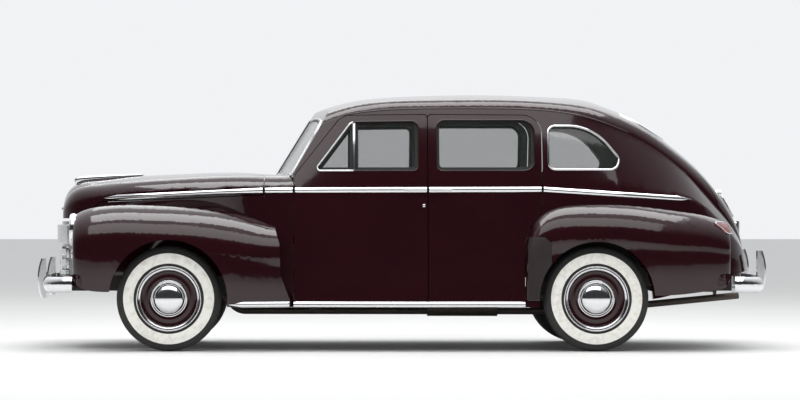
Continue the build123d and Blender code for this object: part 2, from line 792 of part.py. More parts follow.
def make_floor():
    """Floor in two levels with its toe board, and the housings over the rear wheels."""
    level = rail_mid_z + rail_height + seat_gap
    rows = [
        (door_front_x + 1, level, 0),
        (-740, level, 0),
        (-900, trunk_floor_z, 0),
        (-2300, trunk_floor_z, 0),
        (-2300, trunk_floor_z + floor_wall, 0),
        (-908, trunk_floor_z + floor_wall, 0),
        (-748, level + floor_wall, 0),
        (door_front_x + 1, level + floor_wall, 0),
    ]
    floor = side_prism(rows) & form("body", wall + shut_gap)
    toe = block((door_front_x, cowl_x - 15), (-far, far), (level, level + floor_wall))
    floor = fused(floor, toe & form("hood", wall + seat_gap))
    post_space = (door_gap_x - post_half - 1, door_gap_x + post_half + 1)
    for side in (1, -1):
        floor -= block(post_space, (side * 754, side * far), (0, trunk_floor_z))
    inner = rear_arch_inner_y
    for side in (1, -1):
        span = (side * (inner - 10), side * 1200)
        cover = cylinder_y(rear_axle_x, tyre_radius, rear_arch_radius + 13, *span)
        hollow = cylinder_y(rear_axle_x, tyre_radius, rear_arch_radius + 1, side * inner, side * 1200)
        floor -= cover & block((-far, far), (-far, far), (0, far))
        house = (cover - hollow) & block((-far, far), (-far, far), (trunk_floor_z, far))
        floor = fused(floor, house & form("body", wall + shut_gap))
    return floor


def make_wheel(side):
    """Wheel about its own centre, its outer face towards side, and its tyre."""
    half = rim_half
    profile = [
        (spindle_radius + running_gap, -30),
        (drum_radius, -30),
        (drum_radius, 24),
        (rim_radius - 14, 10),
        (rim_radius - 14, 2 - half),
        (flange_radius - 8, -half - 8),
        (flange_radius, -half - 6),
        (flange_radius, -half),
        (rim_radius, 3 - half),
        (rim_radius, half - 3),
        (flange_radius, half),
        (flange_radius, half + 6),
        (ring_inner_radius, half - 18),
        (ring_inner_radius - 8, half - 36),
        (cap_radius, half - 22),
    ]
    points = [at(0, u, r) for r, u in profile]
    edges = [Edge.make_line(a, b) for a, b in zip(points, points[1:])]
    rim_end = points[-1]
    crown = at(0, half + 14, 18)
    edges.append(Edge.make_three_point_arc(rim_end, at(0, half + 4, 0.62 * cap_radius), crown))
    middle = at(0, half + 14, 0)
    blind = at(0, 20, 0)
    edges.append(Edge.make_line(crown, middle))
    edges.append(Edge.make_line(middle, blind))
    edges.append(Edge.make_line(blind, at(0, 20, spindle_radius + running_gap)))
    edges.append(Edge.make_line(at(0, 20, spindle_radius + running_gap), points[0]))
    wheel = Solid.revolve(Face(Wire(edges)), 360, Axis.Y)
    inner = rim_radius + seat_gap
    bead = flange_radius + seat_gap
    wide = tyre_width / 2
    p = [
        at(0, 4 - half, inner),
        at(0, half - 4, inner),
        at(0, half - seat_gap, bead),
        at(0, half + 6, bead),
        at(0, wide, 0.5 * (inner + tyre_radius)),
        at(0, wide - 14, tyre_radius - 18),
        at(0, 0, tyre_radius),
    ]
    outline = [
        Edge.make_line(p[0], p[1]),
        Edge.make_line(p[1], p[2]),
        Edge.make_line(p[2], p[3]),
        Edge.make_three_point_arc(p[3], p[4], p[5]),
        Edge.make_three_point_arc(p[5], p[6], at(0, 14 - wide, tyre_radius - 18)),
        Edge.make_three_point_arc(
            at(0, 14 - wide, tyre_radius - 18), at(0, -wide, p[4].Z), at(0, -half - 6, bead)
        ),
        Edge.make_line(at(0, -half - 6, bead), at(0, seat_gap - half, bead)),
        Edge.make_line(at(0, seat_gap - half, bead), p[0]),
    ]
    tyre = Solid.revolve(Face(Wire(outline)), 360, Axis.Y)
    if side < 0:
        wheel = mirror(wheel, about=Plane.XZ)
        tyre = mirror(tyre, about=Plane.XZ)
    return wheel, tyre


def make_front_axle():
    y = kingpin_y - knuckle_radius
    beam = block((front_axle_x - 28, front_axle_x + 28), (-y, y), (290, 340))
    eye_z = (312, 372)
    pieces = []
    for side in (1, -1):
        pin_y = side * kingpin_y
        eye = rod((front_axle_x, pin_y, eye_z[0]), (front_axle_x, pin_y, eye_z[1]), 28)
        arm = block((front_axle_x - 24, front_axle_x + 24), (side * (y - 40), pin_y), (312, 340))
        pieces += [eye, arm]
    axle = fused(beam, *pieces)
    for side in (1, -1):
        bore = kingpin_radius + running_gap
        axle -= rod((front_axle_x, side * kingpin_y, 200), (front_axle_x, side * kingpin_y, 500), bore)
    return fused(axle, *spring(front_axle_x, 335, rail_front_z - seat_gap, 540))


def spring(x, low_z, high_z, half):
    """Leaf spring across the car, bowed up to the frame, on two pads above the axle."""
    thick = 34
    back = x - 26
    end_z = low_z + 30
    top = Edge.make_three_point_arc(at(back, -half, end_z), at(back, 0, high_z), at(back, half, end_z))
    under = Edge.make_three_point_arc(
        at(back, half, end_z - 12), at(back, 0, high_z - thick), at(back, -half, end_z - 12)
    )
    ends = [Edge.make_line(top @ 1, under @ 0), Edge.make_line(under @ 1, top @ 0)]
    leaf = Solid.extrude(Face(Wire([top, ends[0], under, ends[1]])), Vector(52, 0, 0))
    pads = []
    for side in (1, -1):
        pads.append(block((x - 20, x + 20), (side * (half - 40), side * half), (low_z - 10, low_z + 24)))
    return [leaf, *pads]


def make_knuckle(side):
    """Steering knuckle: kingpin, fork, web and the spindle that carries the wheel."""
    x, y = front_axle_x, side * kingpin_y
    pin = rod((x, y, 276), (x, y, 408), kingpin_radius)
    low = rod((x, y, 276), (x, y, 306), knuckle_radius)
    high = rod((x, y, 378), (x, y, 408), knuckle_radius)
    wheel_y = side * front_track / 2
    web = block((x - 30, x + 30), (y + side * 36, y + side * 58), (276, 438))
    ears = [
        block((x - 30, x + 30), (y, y + side * 40), (276, 306)),
        block((x - 30, x + 30), (y, y + side * 40), (378, 408)),
    ]
    spindle = cylinder_y(x, tyre_radius, spindle_radius, y + side * 50, wheel_y + side * 15)
    return fused(pin, low, high, web, *ears, spindle)


def make_rear_axle():
    x = rear_axle_x
    stub = rear_track / 2 + 15
    tube_end = rear_track / 2 - 42
    axle = cylinder_y(x, tyre_radius, axle_tube_radius, -tube_end, tube_end)
    shaft = cylinder_y(x, tyre_radius, spindle_radius, -stub, stub)
    ball = Pos(x, 0, tyre_radius) * Sphere(125)
    tube = rod((x + 60, 0, tyre_radius), (gearbox_back - seat_gap, 0, torque_tube_z), 34)
    spring_x = -1400
    reach = (tyre_radius - 24, tyre_radius + 34)
    carriers = [block((spring_x - 20, x), (side * 520, side * 560), reach) for side in (1, -1)]
    leaves = spring(spring_x, tyre_radius + 30, rail_rear_z - seat_gap, 560)
    return fused(axle, shaft, ball, tube, *leaves, *carriers)


def make_engine():
    block_part = block((1150, 1900), (-230, 230), (rail_front_z + 38 + seat_gap, 950))
    gearbox = block((gearbox_back, 1160), (-100, 100), (rail_mid_z + 1 + seat_gap, 398))
    bell = block((1060, 1160), (-190, 190), (rail_mid_z + 5, 620))
    ears = [
        block((1700, 1760), (side * 220, side * (rail_y + 20)), (rail_front_z + rail_height + seat_gap, 525))
        for side in (1, -1)
    ]
    return fused(block_part, gearbox, bell, *ears)


def make_exhaust():
    ahead = [(1300, -282, 420), (1150, -282, 240), (-950, -200, 240)]
    behind = [(-1500, -200, 262), (-2420, -250, 350)]
    route = FilletPolyline(*ahead, *behind, radius=120)
    ring = Face(Wire.make_circle(24, Plane(origin=route @ 0, z_dir=route % 0)))
    pipe = Solid.sweep(ring, route.wires()[0] if route.wires() else route)
    muffler = rod((-700, -210, 262), (-200, -229, 262), 58)
    front_hanger = block((585, 615), (-275, -246), (240, rail_mid_z - member_depth - seat_gap))
    rear_hanger = block((-2262, -2238), (-252, -230), (334, rail_tail_z - seat_gap))
    return fused(pipe, muffler, front_hanger, rear_hanger)


def make_seats():
    floor_top = rail_mid_z + rail_height + seat_gap + floor_wall + seat_gap
    front = side_prism(
        [
            (340, floor_top, 20),
            (380, 700, 60),
            (-80, 690, 0),
            (-190, 1150, 60),
            (-330, 1150, 60),
            (-240, floor_top, 20),
        ],
        -front_seat_half,
        front_seat_half,
    )
    base = trunk_floor_z + floor_wall + seat_gap
    rear = side_prism(
        [
            (-700, base, 30),
            (-690, 760, 60),
            (-1130, 745, 0),
            (-1240, 1150, 60),
            (-1390, 1150, 60),
            (-1360, base, 20),
        ],
        -rear_seat_half,
        rear_seat_half,
    )
    shelf = block((-1640, -1350), (-far, far), (1100, 1120)) & form("body", wall + seat_gap)
    return front, fused(rear, shelf)


def steer_axis():
    lean = radians(steer_lean)
    return Vector(cos(lean), 0, -sin(lean))


def make_steering():
    x, z = steer_centre
    centre = at(x, steer_y, z)
    axis = steer_axis()
    corners = [radians(22.5 + 45 * step) for step in range(8)]
    grip = [at(steer_radius + rim_grip * cos(a), 0, rim_grip * sin(a)) for a in corners]
    rim = Solid.revolve(Face(Wire.make_polygon(grip, close=True)), 360, Axis.Z)
    hub = rod((0, 0, -12), (0, 0, 32), 34)
    spokes = []
    for a in (radians(90), radians(210), radians(330)):
        toward = at(cos(a), sin(a), 0)
        spokes.append(rod(toward * 20, toward * steer_radius, 7))
    wheel = Plane(origin=centre, z_dir=axis) * (rim + [hub, *spokes])
    column = rod(centre + axis * (32 + running_gap), centre + axis * 640, 26)
    return wheel, column


def make_dashboard(column):
    rows = [(560, 960, 40), (590, 1120, 50), (733, 1180, 0), (733, 1120, 0), (640, 960, 0)]
    board = side_prism(rows) & form("body", wall + 1)
    bracket = block((585, 660), (steer_y - 18, steer_y + 18), (820, 1000))
    return fused(board, bracket, column)


def make_glass():
    panes = both(side_pane(quarter_window)) + solids(back_pane())
    for side, slab in zip((1, -1), shield_slab(8, 8 + pane)):
        space = block((0, far), (side * seat_gap, side * far), (1120, far))
        screen = ((slab & space) & form("body", wall + seat_gap)) - form("hood", -seat_gap)
        panes.append(max(solids(screen), key=lambda s: s.volume))
    return panes


def make_trunk_lid():
    lid = layer("body", 0, panel, end_prism(lid_outline, -1850, -2500))
    return max(solids(lid), key=lambda s: s.volume)


def make_trunk_trim():
    """Grip on the lid, and the hooded lamp above the plate's place."""
    lower = rod((-2380, 0, 760), (-2380, 0, 880), 12)
    feet = [rod((-2250, 0, z), (-2380, 0, z), 9) for z in (775, 865)]
    grip = fused(lower, *feet) - form("body", -seat_gap)
    hood_lamp = rod((-2180, 0, 1075), (-2262, 0, 1075), 26) - form("body", -seat_gap)
    return [max(solids(grip), key=lambda s: s.volume), max(solids(hood_lamp), key=lambda s: s.volume)]


def main():
    os.makedirs("parts", exist_ok=True)
    save("body_shell", make_body_shell())
    save("floor_pan", make_floor())
    for name, door in make_doors().items():
        save(f"door_{name}_left", door)
        save(f"door_{name}_right", mirror(door, about=Plane.XZ))
    for name, sheet in make_door_glass().items():
        save(f"glass_{name}_left", sheet)
        save(f"glass_{name}_right", mirror(sheet, about=Plane.XZ))
    for name, pieces in make_door_trim().items():
        save(f"trim_{name}_left", *pieces)
        save(f"trim_{name}_right", *[mirror(piece, about=Plane.XZ) for piece in pieces])
    save("hood", make_hood())
    save("hood_side_panels", make_side_panels())
    save("hood_trim", *make_hood_trim())
    save("front_fenders", *make_front_fenders())
    save("rear_fenders", *make_rear_fenders())
    save("nose_panel", make_nose_panel())
    save("grille", *make_grille())
    bezels, lenses = make_lamps()
    save("lamp_bezels", *bezels)
    save("lamp_lenses", *lenses)
    save("tail_lamps", *make_tail_lamps())
    save("front_bumper", make_bumper(front_bumper, 1))
    save("rear_bumper", make_bumper(rear_bumper, -1))
    save("body_glass", *make_glass())
    save("trunk_lid", make_trunk_lid())
    save("trunk_trim", *make_trunk_trim())
    save("chassis_frame", make_frame())
    save("front_axle", make_front_axle())
    save("rear_axle", make_rear_axle())
    save("engine", make_engine())
    save("radiator", block((2055, 2105), (-250, 250), (rail_front_z + rail_height + seat_gap, 1000)))
    save("exhaust", make_exhaust())
    save("fuel_tank", block((-2190, -1760), (-300, 300), (390, trunk_floor_z - seat_gap)))
    front_seat, rear_seat = make_seats()
    save("front_seat", front_seat)
    save("rear_seat", rear_seat)
    steering_wheel, column = make_steering()
    save("steering_wheel", steering_wheel)
    save("dashboard", make_dashboard(column))
    for side, word in ((1, "left"), (-1, "right")):
        save(f"knuckle_{word}", make_knuckle(side))
        wheel, tyre = make_wheel(side)
        for end, x, track in (("front", front_axle_x, front_track), ("rear", rear_axle_x, rear_track)):
            place = Pos(x, side * track / 2, tyre_radius)
            save(f"wheel_{end}_{word}", place * wheel)
            save(f"tyre_{end}_{word}", place * tyre)


if __name__ == "__main__":
    main()
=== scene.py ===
import json
from math import atan2, cos, pi, radians, sin
import bpy
import bmesh
from mathutils import Matrix, Vector


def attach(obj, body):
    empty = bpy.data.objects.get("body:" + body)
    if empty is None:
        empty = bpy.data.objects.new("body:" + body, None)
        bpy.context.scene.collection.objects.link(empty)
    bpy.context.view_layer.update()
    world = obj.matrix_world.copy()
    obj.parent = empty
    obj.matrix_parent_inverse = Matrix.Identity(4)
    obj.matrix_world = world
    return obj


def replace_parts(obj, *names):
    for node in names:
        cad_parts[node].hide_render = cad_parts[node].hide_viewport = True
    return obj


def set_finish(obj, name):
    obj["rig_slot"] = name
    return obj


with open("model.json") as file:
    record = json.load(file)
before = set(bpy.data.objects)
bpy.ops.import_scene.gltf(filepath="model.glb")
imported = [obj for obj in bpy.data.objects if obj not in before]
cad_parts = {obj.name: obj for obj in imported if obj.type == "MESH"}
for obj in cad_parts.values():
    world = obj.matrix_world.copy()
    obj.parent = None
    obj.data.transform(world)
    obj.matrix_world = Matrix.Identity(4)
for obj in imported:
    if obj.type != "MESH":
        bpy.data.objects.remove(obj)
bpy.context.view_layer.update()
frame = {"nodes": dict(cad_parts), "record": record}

nodes = frame["nodes"]
bodyOf = {node: body for body, held in frame["record"]["behaviour"]["bodies"].items() for node in held}
slotOf = {row["node"]: row["material_slot"] for row in frame["record"]["subparts"]}
jointOf = {row["name"]: row for row in frame["record"]["behaviour"]["joints"]}
print("frame loaded")


# Shader maths

class Wire:
    def __init__(self, finish, socket):
        self.finish = finish
        self.socket = socket

    def maths(self, operation, first, second):
        return self.finish.add("ShaderNodeMath", {"operation": operation}, {0: first, 1: second})

    def __add__(self, other):
        return self.maths("ADD", self, other)

    def __radd__(self, other):
        return self.maths("ADD", other, self)

    def __sub__(self, other):
        return self.maths("SUBTRACT", self, other)

    def __rsub__(self, other):
        return self.maths("SUBTRACT", other, self)

    def __mul__(self, other):
        return self.maths("MULTIPLY", self, other)

    def __rmul__(self, other):
        return self.maths("MULTIPLY", other, self)

    def __pow__(self, other):
        return self.maths("POWER", self, other)


class Finish:
    def __init__(self, name):
        self.material = bpy.data.materials.new(name)
        self.material.use_nodes = True
        self.tree = self.material.node_tree
        self.shader = self.tree.nodes["Principled BSDF"]
        self.place = self.add("ShaderNodeTexCoord", out="Object")

    def add(self, kind, settings=None, sockets=None, out=0):
        made = self.tree.nodes.new(kind)
        for name, value in (settings or {}).items():
            if name == "stops":
                ramp = made.color_ramp.elements
                for index, (position, colour) in enumerate(value):
                    stop = ramp[index] if index < len(ramp) else ramp.new(position)
                    stop.position = position
                    stop.color = colour
            else:
                setattr(made, name, value)
        self.feed(made, sockets or {})
        return Wire(self, made.outputs[out])

    def feed(self, made, sockets):
        for name, value in sockets.items():
            if isinstance(value, Wire):
                self.tree.links.new(value.socket, made.inputs[name])
            else:
                made.inputs[name].default_value = value

    def surface(self, **sockets):
        self.feed(self.shader, {name.replace("_", " "): value for name, value in sockets.items()})
        return self.material

    def noise(self, scale, detail=2.0, stretch=(1, 1, 1)):
        turned = self.add("ShaderNodeMapping", sockets={"Vector": self.place, "Scale": stretch})
        return self.add("ShaderNodeTexNoise", sockets={"Vector": turned, "Scale": scale, "Detail": detail})

    def blend(self, share, first, second):
        return self.add("ShaderNodeMix", {"data_type": "RGBA"}, {0: share, 6: first, 7: second}, out=2)

    def step(self, value, low, high):
        return self.add("ShaderNodeMapRange", {"clamp": True}, {0: value, 1: low, 2: high})

    def bump(self, height, strength, distance):
        sockets = {"Height": height, "Strength": strength, "Distance": distance}
        return self.add("ShaderNodeBump", sockets=sockets)


def paint(name, deep, light, roughness=0.1):
    finish = Finish(name)
    cloud = finish.noise(1.7, 3.0)
    dust = finish.noise(42.0, 4.0)
    colour = finish.blend(cloud, deep, light)
    skin = finish.bump(finish.noise(260.0), 0.02, 0.001)
    finish.surface(Base_Color=colour, Roughness=roughness + dust * 0.08, Normal=skin, Specular_IOR_Level=0.15)
    return finish.surface(Coat_Weight=1.0, Coat_Roughness=0.06, Coat_IOR=1.45)


def chromePlate():
    finish = Finish("chromePlate")
    haze = finish.noise(36.0, 5.0)
    wave = finish.bump(finish.noise(14.0), 0.03, 0.002)
    tint = finish.blend(haze, (0.74, 0.75, 0.77, 1), (0.86, 0.86, 0.87, 1))
    return finish.surface(Base_Color=tint, Metallic=1.0, Roughness=0.04 + haze * 0.09, Normal=wave)


def windowGlass():
    finish = Finish("windowGlass")
    smear = finish.noise(6.0, 4.0)
    finish.surface(Base_Color=(0.035, 0.045, 0.042, 1), Roughness=0.01 + smear * 0.03, Alpha=0.24)
    return finish.surface(Specular_IOR_Level=1.0, IOR=1.6, Coat_Weight=1.0)


def lampGlass():
    finish = Finish("lampGlass")
    across = finish.add("ShaderNodeSeparateXYZ", sockets={"Vector": finish.place}, out="Y")
    flutes = finish.add("ShaderNodeMath", {"operation": "PINGPONG"}, {0: across, 1: 0.006})
    ribs = finish.bump(flutes * 120.0, 0.5, 0.003)
    finish.surface(Base_Color=(0.82, 0.84, 0.84, 1), Roughness=0.05, Alpha=0.55, Normal=ribs)
    return finish.surface(Specular_IOR_Level=0.9, Coat_Weight=1.0)


def redLens():
    finish = Finish("redLens")
    up = finish.add("ShaderNodeSeparateXYZ", sockets={"Vector": finish.place}, out="Z")
    ribs = finish.add("ShaderNodeMath", {"operation": "PINGPONG"}, {0: up, 1: 0.004})
    tone = finish.blend(finish.noise(60.0), (0.10, 0.003, 0.003, 1), (0.16, 0.005, 0.004, 1))
    finish.surface(Base_Color=tone, Roughness=0.12, Normal=finish.bump(ribs * 160.0, 0.5, 0.002))
    return finish.surface(Coat_Weight=1.0)


def rubber(name, deep, light, grain=220.0):
    finish = Finish(name)
    scuff = finish.noise(24.0, 5.0)
    colour = finish.blend(scuff, deep, light)
    skin = finish.bump(finish.noise(grain, 3.0), 0.25, 0.0008)
    return finish.surface(Base_Color=colour, Roughness=0.62 + scuff * 0.2, Normal=skin)


def whiteWall():
    finish = Finish("whiteWall")
    stain = finish.noise(30.0, 6.0)
    dirt = finish.step(stain, 0.45, 0.85)
    colour = finish.blend(dirt, (0.80, 0.79, 0.74, 1), (0.58, 0.55, 0.48, 1))
    finish.surface(Base_Color=colour, Roughness=0.5 + stain * 0.1)
    return finish.surface(Normal=finish.bump(stain, 0.1, 0.001))


def metal(name, deep, light, roughness, metallic=0.6):
    finish = Finish(name)
    patch = finish.noise(9.0, 6.0)
    fine = finish.noise(150.0, 3.0)
    colour = finish.blend(patch, deep, light)
    finish.surface(Base_Color=colour, Metallic=metallic, Roughness=roughness + patch * 0.25)
    return finish.surface(Normal=finish.bump(fine, 0.3, 0.001))


def cloth(name, deep, light, threads=420.0):
    finish = Finish(name)
    axes = finish.add("ShaderNodeSeparateXYZ", sockets={"Vector": finish.place}, out="Y")
    upward = finish.add("ShaderNodeSeparateXYZ", sockets={"Vector": finish.place}, out="Z")
    along = finish.add("ShaderNodeSeparateXYZ", sockets={"Vector": finish.place}, out="X")
    warp = finish.add("ShaderNodeMath", {"operation": "SINE"}, {0: axes * threads * 6.0})
    weft = finish.add("ShaderNodeMath", {"operation": "SINE"}, {0: (upward + along) * threads * 6.0})
    weave = warp * weft
    stripe = finish.add("ShaderNodeMath", {"operation": "PINGPONG"}, {0: axes, 1: 0.018})
    line = finish.step(stripe, 0.0155, 0.018)
    colour = finish.blend(line * 0.6 + finish.noise(18.0, 4.0) * 0.4, deep, light)
    finish.surface(Base_Color=colour, Roughness=0.9, Normal=finish.bump(weave, 0.3, 0.0006))
    return finish.surface(Sheen_Weight=0.3)


maroon = paint("maroonPaint", (0.0125, 0.0016, 0.0032, 1), (0.019, 0.0026, 0.0048, 1))
wheelMaroon = paint("wheelMaroon", (0.016, 0.002, 0.0035, 1), (0.024, 0.003, 0.005, 1), 0.16)
dashPaint = paint("dashPaint", (0.055, 0.035, 0.022, 1), (0.085, 0.055, 0.034, 1), 0.22)
chrome = chromePlate()
glass = windowGlass()
lensGlass = lampGlass()
tailRed = redLens()
tyreBlack = rubber("tyreBlack", (0.012, 0.012, 0.012, 1), (0.032, 0.031, 0.030, 1))
sealBlack = rubber("sealBlack", (0.008, 0.008, 0.008, 1), (0.020, 0.020, 0.020, 1))
shieldBlack = rubber("shieldBlack", (0.010, 0.004, 0.005, 1), (0.022, 0.012, 0.012, 1), 120.0)
wallWhite = whiteWall()
frameBlack = metal("frameBlack", (0.012, 0.012, 0.012, 1), (0.045, 0.038, 0.032, 1), 0.5, 0.2)
forged = metal("forgedSteel", (0.06, 0.055, 0.05, 1), (0.16, 0.13, 0.11, 1), 0.45)
castIron = metal("castIron", (0.035, 0.045, 0.05, 1), (0.08, 0.09, 0.09, 1), 0.5, 0.3)
seatCloth = cloth("seatCloth", (0.16, 0.13, 0.105, 1), (0.27, 0.23, 0.19, 1))
liner = cloth("linerCloth", (0.20, 0.17, 0.14, 1), (0.30, 0.26, 0.22, 1), 500.0)
carpet = rubber("floorCarpet", (0.03, 0.022, 0.018, 1), (0.06, 0.045, 0.036, 1), 340.0)
print("materials ready")


# Ways of working that the pieces share

cover = {}  # the finished piece that stands for each CAD node
weldGap = 0.00002  # corners nearer than this are one
creaseAngle = radians(50)  # edges sharper than this are rounded
offSide = 1.3  # how far out from the middle plane a piece starts before it is laid on the skin
missedBy = 0.1  # nearer to offSide than this a corner has found no skin
crownShare = 0.6  # part of a moulding's height that its round middle makes up
shortestBead = 0.3  # a shorter loop isn't a window
farOff = 3  # outside the car in every direction


def only(piece):
    bpy.ops.object.select_all(action="DESELECT")
    piece.select_set(True)
    bpy.context.view_layer.objects.active = piece


def edit(piece, mode="VERT"):
    only(piece)
    bpy.ops.object.mode_set(mode="EDIT")
    bpy.ops.mesh.select_mode(type=mode)
    return bmesh.from_edit_mesh(piece.data)


def leave():
    bpy.ops.object.mode_set(mode="OBJECT")


# A copy of a node's mesh with its corners welded, left in edit mode
def copied(name, node, mode="VERT"):
    piece = bpy.data.objects.new(name, nodes[node].data.copy())
    bpy.context.scene.collection.objects.link(piece)
    edit(piece, mode)
    bpy.ops.mesh.select_all(action="SELECT")
    bpy.ops.mesh.remove_doubles(threshold=weldGap)
    return piece


def cutAt(place, out, outer=False, inner=False):
    bpy.ops.mesh.select_all(action="SELECT")
    bpy.ops.mesh.bisect(plane_co=place, plane_no=out, clear_outer=outer, clear_inner=inner)


def roundEdges(piece, width, segments):
    rounding = piece.modifiers.new("edge", "BEVEL")
    rounding.width = width
    rounding.segments = segments
    rounding.limit_method = "ANGLE"
    rounding.angle_limit = creaseAngle


def choose(piece, kind, test):
    mesh = bmesh.from_edit_mesh(piece.data)
    bpy.ops.mesh.select_all(action="DESELECT")
    for item in getattr(mesh, kind):
        if test(item):
            item.select_set(True)
    mesh.select_flush_mode()
    bmesh.update_edit_mesh(piece.data)


def keepFaces(piece, test):
    choose(piece, "faces", test)
    bpy.ops.mesh.select_all(action="INVERT")
    bpy.ops.mesh.delete(type="FACE")


def finishUp(piece, name, material, body, slot, angle=35):
    only(piece)
    for modifier in list(piece.modifiers):
        bpy.ops.object.modifier_apply(modifier=modifier.name)
    bpy.ops.object.transform_apply(location=True, rotation=True, scale=True)
    bpy.ops.object.shade_smooth_by_angle(angle=radians(angle))
    piece.name = name
    if material:
        piece.data.materials.clear()
        piece.data.materials.append(material)
    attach(piece, body)
    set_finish(piece, slot)
    return piece


# Shading that follows the large faces, so that slivers beside a cut edge don't show
def evenOut(piece):
    even = piece.modifiers.new("even", "WEIGHTED_NORMAL")
    even.mode = "FACE_AREA"
    even.weight = 60
    even.keep_sharp = True
    only(piece)
    bpy.ops.object.modifier_apply(modifier="even")


def outwards(piece):
    edit(piece)
    bpy.ops.mesh.select_all(action="SELECT")
    bpy.ops.mesh.remove_doubles(threshold=weldGap)
    bpy.ops.mesh.normals_make_consistent(inside=False)
    leave()


def mirrored(piece, name, body):
    other = bpy.data.objects.new(name, piece.data.copy())
    bpy.context.scene.collection.objects.link(other)
    only(other)
    other.scale.y = -1
    bpy.ops.object.transform_apply(location=True, rotation=True, scale=True)
    outwards(other)
    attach(other, body)
    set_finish(other, piece["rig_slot"])
    return other


def dress(node, name, material, angle=35, edge=0):
    piece = copied(name, node)
    leave()
    bpy.ops.mesh.customdata_custom_splitnormals_clear()
    if edge:
        roundEdges(piece, edge, 4)
    finishUp(piece, name, material, bodyOf[node], slotOf[node], angle)
    evenOut(piece)
    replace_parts(piece, node)
    cover[node] = piece
    return piece


def hit(node, start, direction):
    found, place, normal, _ = cover[node].ray_cast(Vector(start), Vector(direction).normalized())
    if not found:
        raise ValueError("nothing at " + str(start) + " on " + node)
    return place, normal


def wrap(piece, node):
    shrink = piece.modifiers.new("wrap", "SHRINKWRAP")
    shrink.target = cover[node]
    shrink.wrap_method = "PROJECT"
    shrink.use_project_y = True
    shrink.use_negative_direction = True
    shrink.use_positive_direction = False
    only(piece)
    bpy.ops.object.modifier_apply(modifier="wrap")


def thicken(piece, stand, edge):
    solid = piece.modifiers.new("stand", "SOLIDIFY")
    solid.thickness = stand
    solid.offset = 1.0
    if edge:
        roundEdges(piece, edge, 3)


# Crowned moulding laid on a side, from front to rear, with a pointed end where point says
def sideStrip(name, node, front, rear, height, stand, edge, material, cuts=24, point=None):
    start, end = Vector((front[0], offSide, front[1])), Vector((rear[0], offSide, rear[1]))
    bpy.ops.object.select_all(action="DESELECT")
    bpy.ops.mesh.primitive_grid_add(x_subdivisions=cuts, y_subdivisions=8, size=1)
    piece = bpy.context.object
    along = end - start
    up = Vector((0, 1, 0)).cross(along).normalized() * height
    if up.z < 0:
        up = -up
    turned = Matrix((along, up, Vector((0, 1, 0)))).transposed().to_4x4()
    piece.matrix_world = Matrix.Translation((start + end) * 0.5) @ turned
    only(piece)
    bpy.ops.object.transform_apply(location=True, rotation=True, scale=True)
    if point:
        edit(piece)
        tip = end if point < 0 else start
        for way in (1, -1):
            slant = along.normalized() * (-point * height * 0.5) + up.normalized() * (way * 0.10)
            cutAt(tip, slant, outer=True)
        leave()
    wrap(piece, node)
    dropMissed(piece)
    crown(piece, start, up.normalized(), height, crownShare * stand)
    thicken(piece, (1 - crownShare) * stand, edge)
    return finishUp(piece, name, material, bodyOf[node], "chrome_plate", 50)


# What found no skin to lie on still has the height it started from
def dropMissed(piece):
    edit(piece)
    choose(piece, "verts", lambda v: v.co.y > offSide - missedBy)
    bpy.ops.mesh.delete(type="VERT")
    leave()


# The middle of a strip stands out, and its long edges stay on the skin
def crown(piece, start, up, height, rise):
    mesh = edit(piece)
    for vert in mesh.verts:
        off = (vert.co - start).dot(up) * 2 / height
        vert.co.y += rise * max(0.0, 1 - off * off)
    bmesh.update_edit_mesh(piece.data)
    leave()


def spun(name, profile, centre, axis, radial, material, body, slot, steps=72, angle=35):
    centre, axis, radial = Vector(centre), Vector(axis), Vector(radial)
    places = [centre + axis * u + radial * r for r, u in profile]
    bpy.ops.object.select_all(action="DESELECT")
    bpy.ops.mesh.primitive_plane_add(size=0.01, location=places[0])
    piece = bpy.context.object
    bpy.ops.object.transform_apply(location=True, rotation=True, scale=True)
    edit(piece)
    bpy.ops.mesh.select_all(action="SELECT")
    bpy.ops.mesh.merge(type="CENTER")
    for before, after in zip(places, places[1:]):
        bpy.ops.mesh.extrude_region_move(TRANSFORM_OT_translate={"value": after - before})
    if profile[0][0] or profile[-1][0]:
        bpy.ops.mesh.extrude_region_move(TRANSFORM_OT_translate={"value": places[0] - places[-1]})
    bpy.ops.mesh.select_all(action="SELECT")
    bpy.ops.mesh.remove_doubles(threshold=0.00001)
    bpy.ops.mesh.spin(steps=steps, angle=2 * pi, center=centre, axis=axis)
    bpy.ops.mesh.select_all(action="SELECT")
    bpy.ops.mesh.remove_doubles(threshold=weldGap)
    bpy.ops.mesh.normals_make_consistent(inside=False)
    leave()
    return finishUp(piece, name, material, body, slot, angle)


# Of the edges in edit mode only closed loops at least as long as shortest stay
def prune(piece, shortest):
    mesh = bmesh.from_edit_mesh(piece.data)
    while any(len(v.link_edges) < 2 for v in mesh.verts):
        choose(piece, "verts", lambda v: len(v.link_edges) < 2)
        bpy.ops.mesh.delete(type="VERT")
        mesh = bmesh.from_edit_mesh(piece.data)
    mesh.verts.index_update()
    short, seen = set(), set()
    for first in mesh.verts:
        group, waiting = set(), [first] if first not in seen else []
        while waiting:
            vert = waiting.pop()
            if vert not in group:
                group.add(vert)
                waiting += [edge.other_vert(vert) for edge in vert.link_edges]
        seen |= group
        if sum(edge.calc_length() for vert in group for edge in vert.link_edges) / 2 < shortest:
            short |= {vert.index for vert in group}
    choose(piece, "verts", lambda v: v.index in short)
    bpy.ops.mesh.delete(type="VERT")


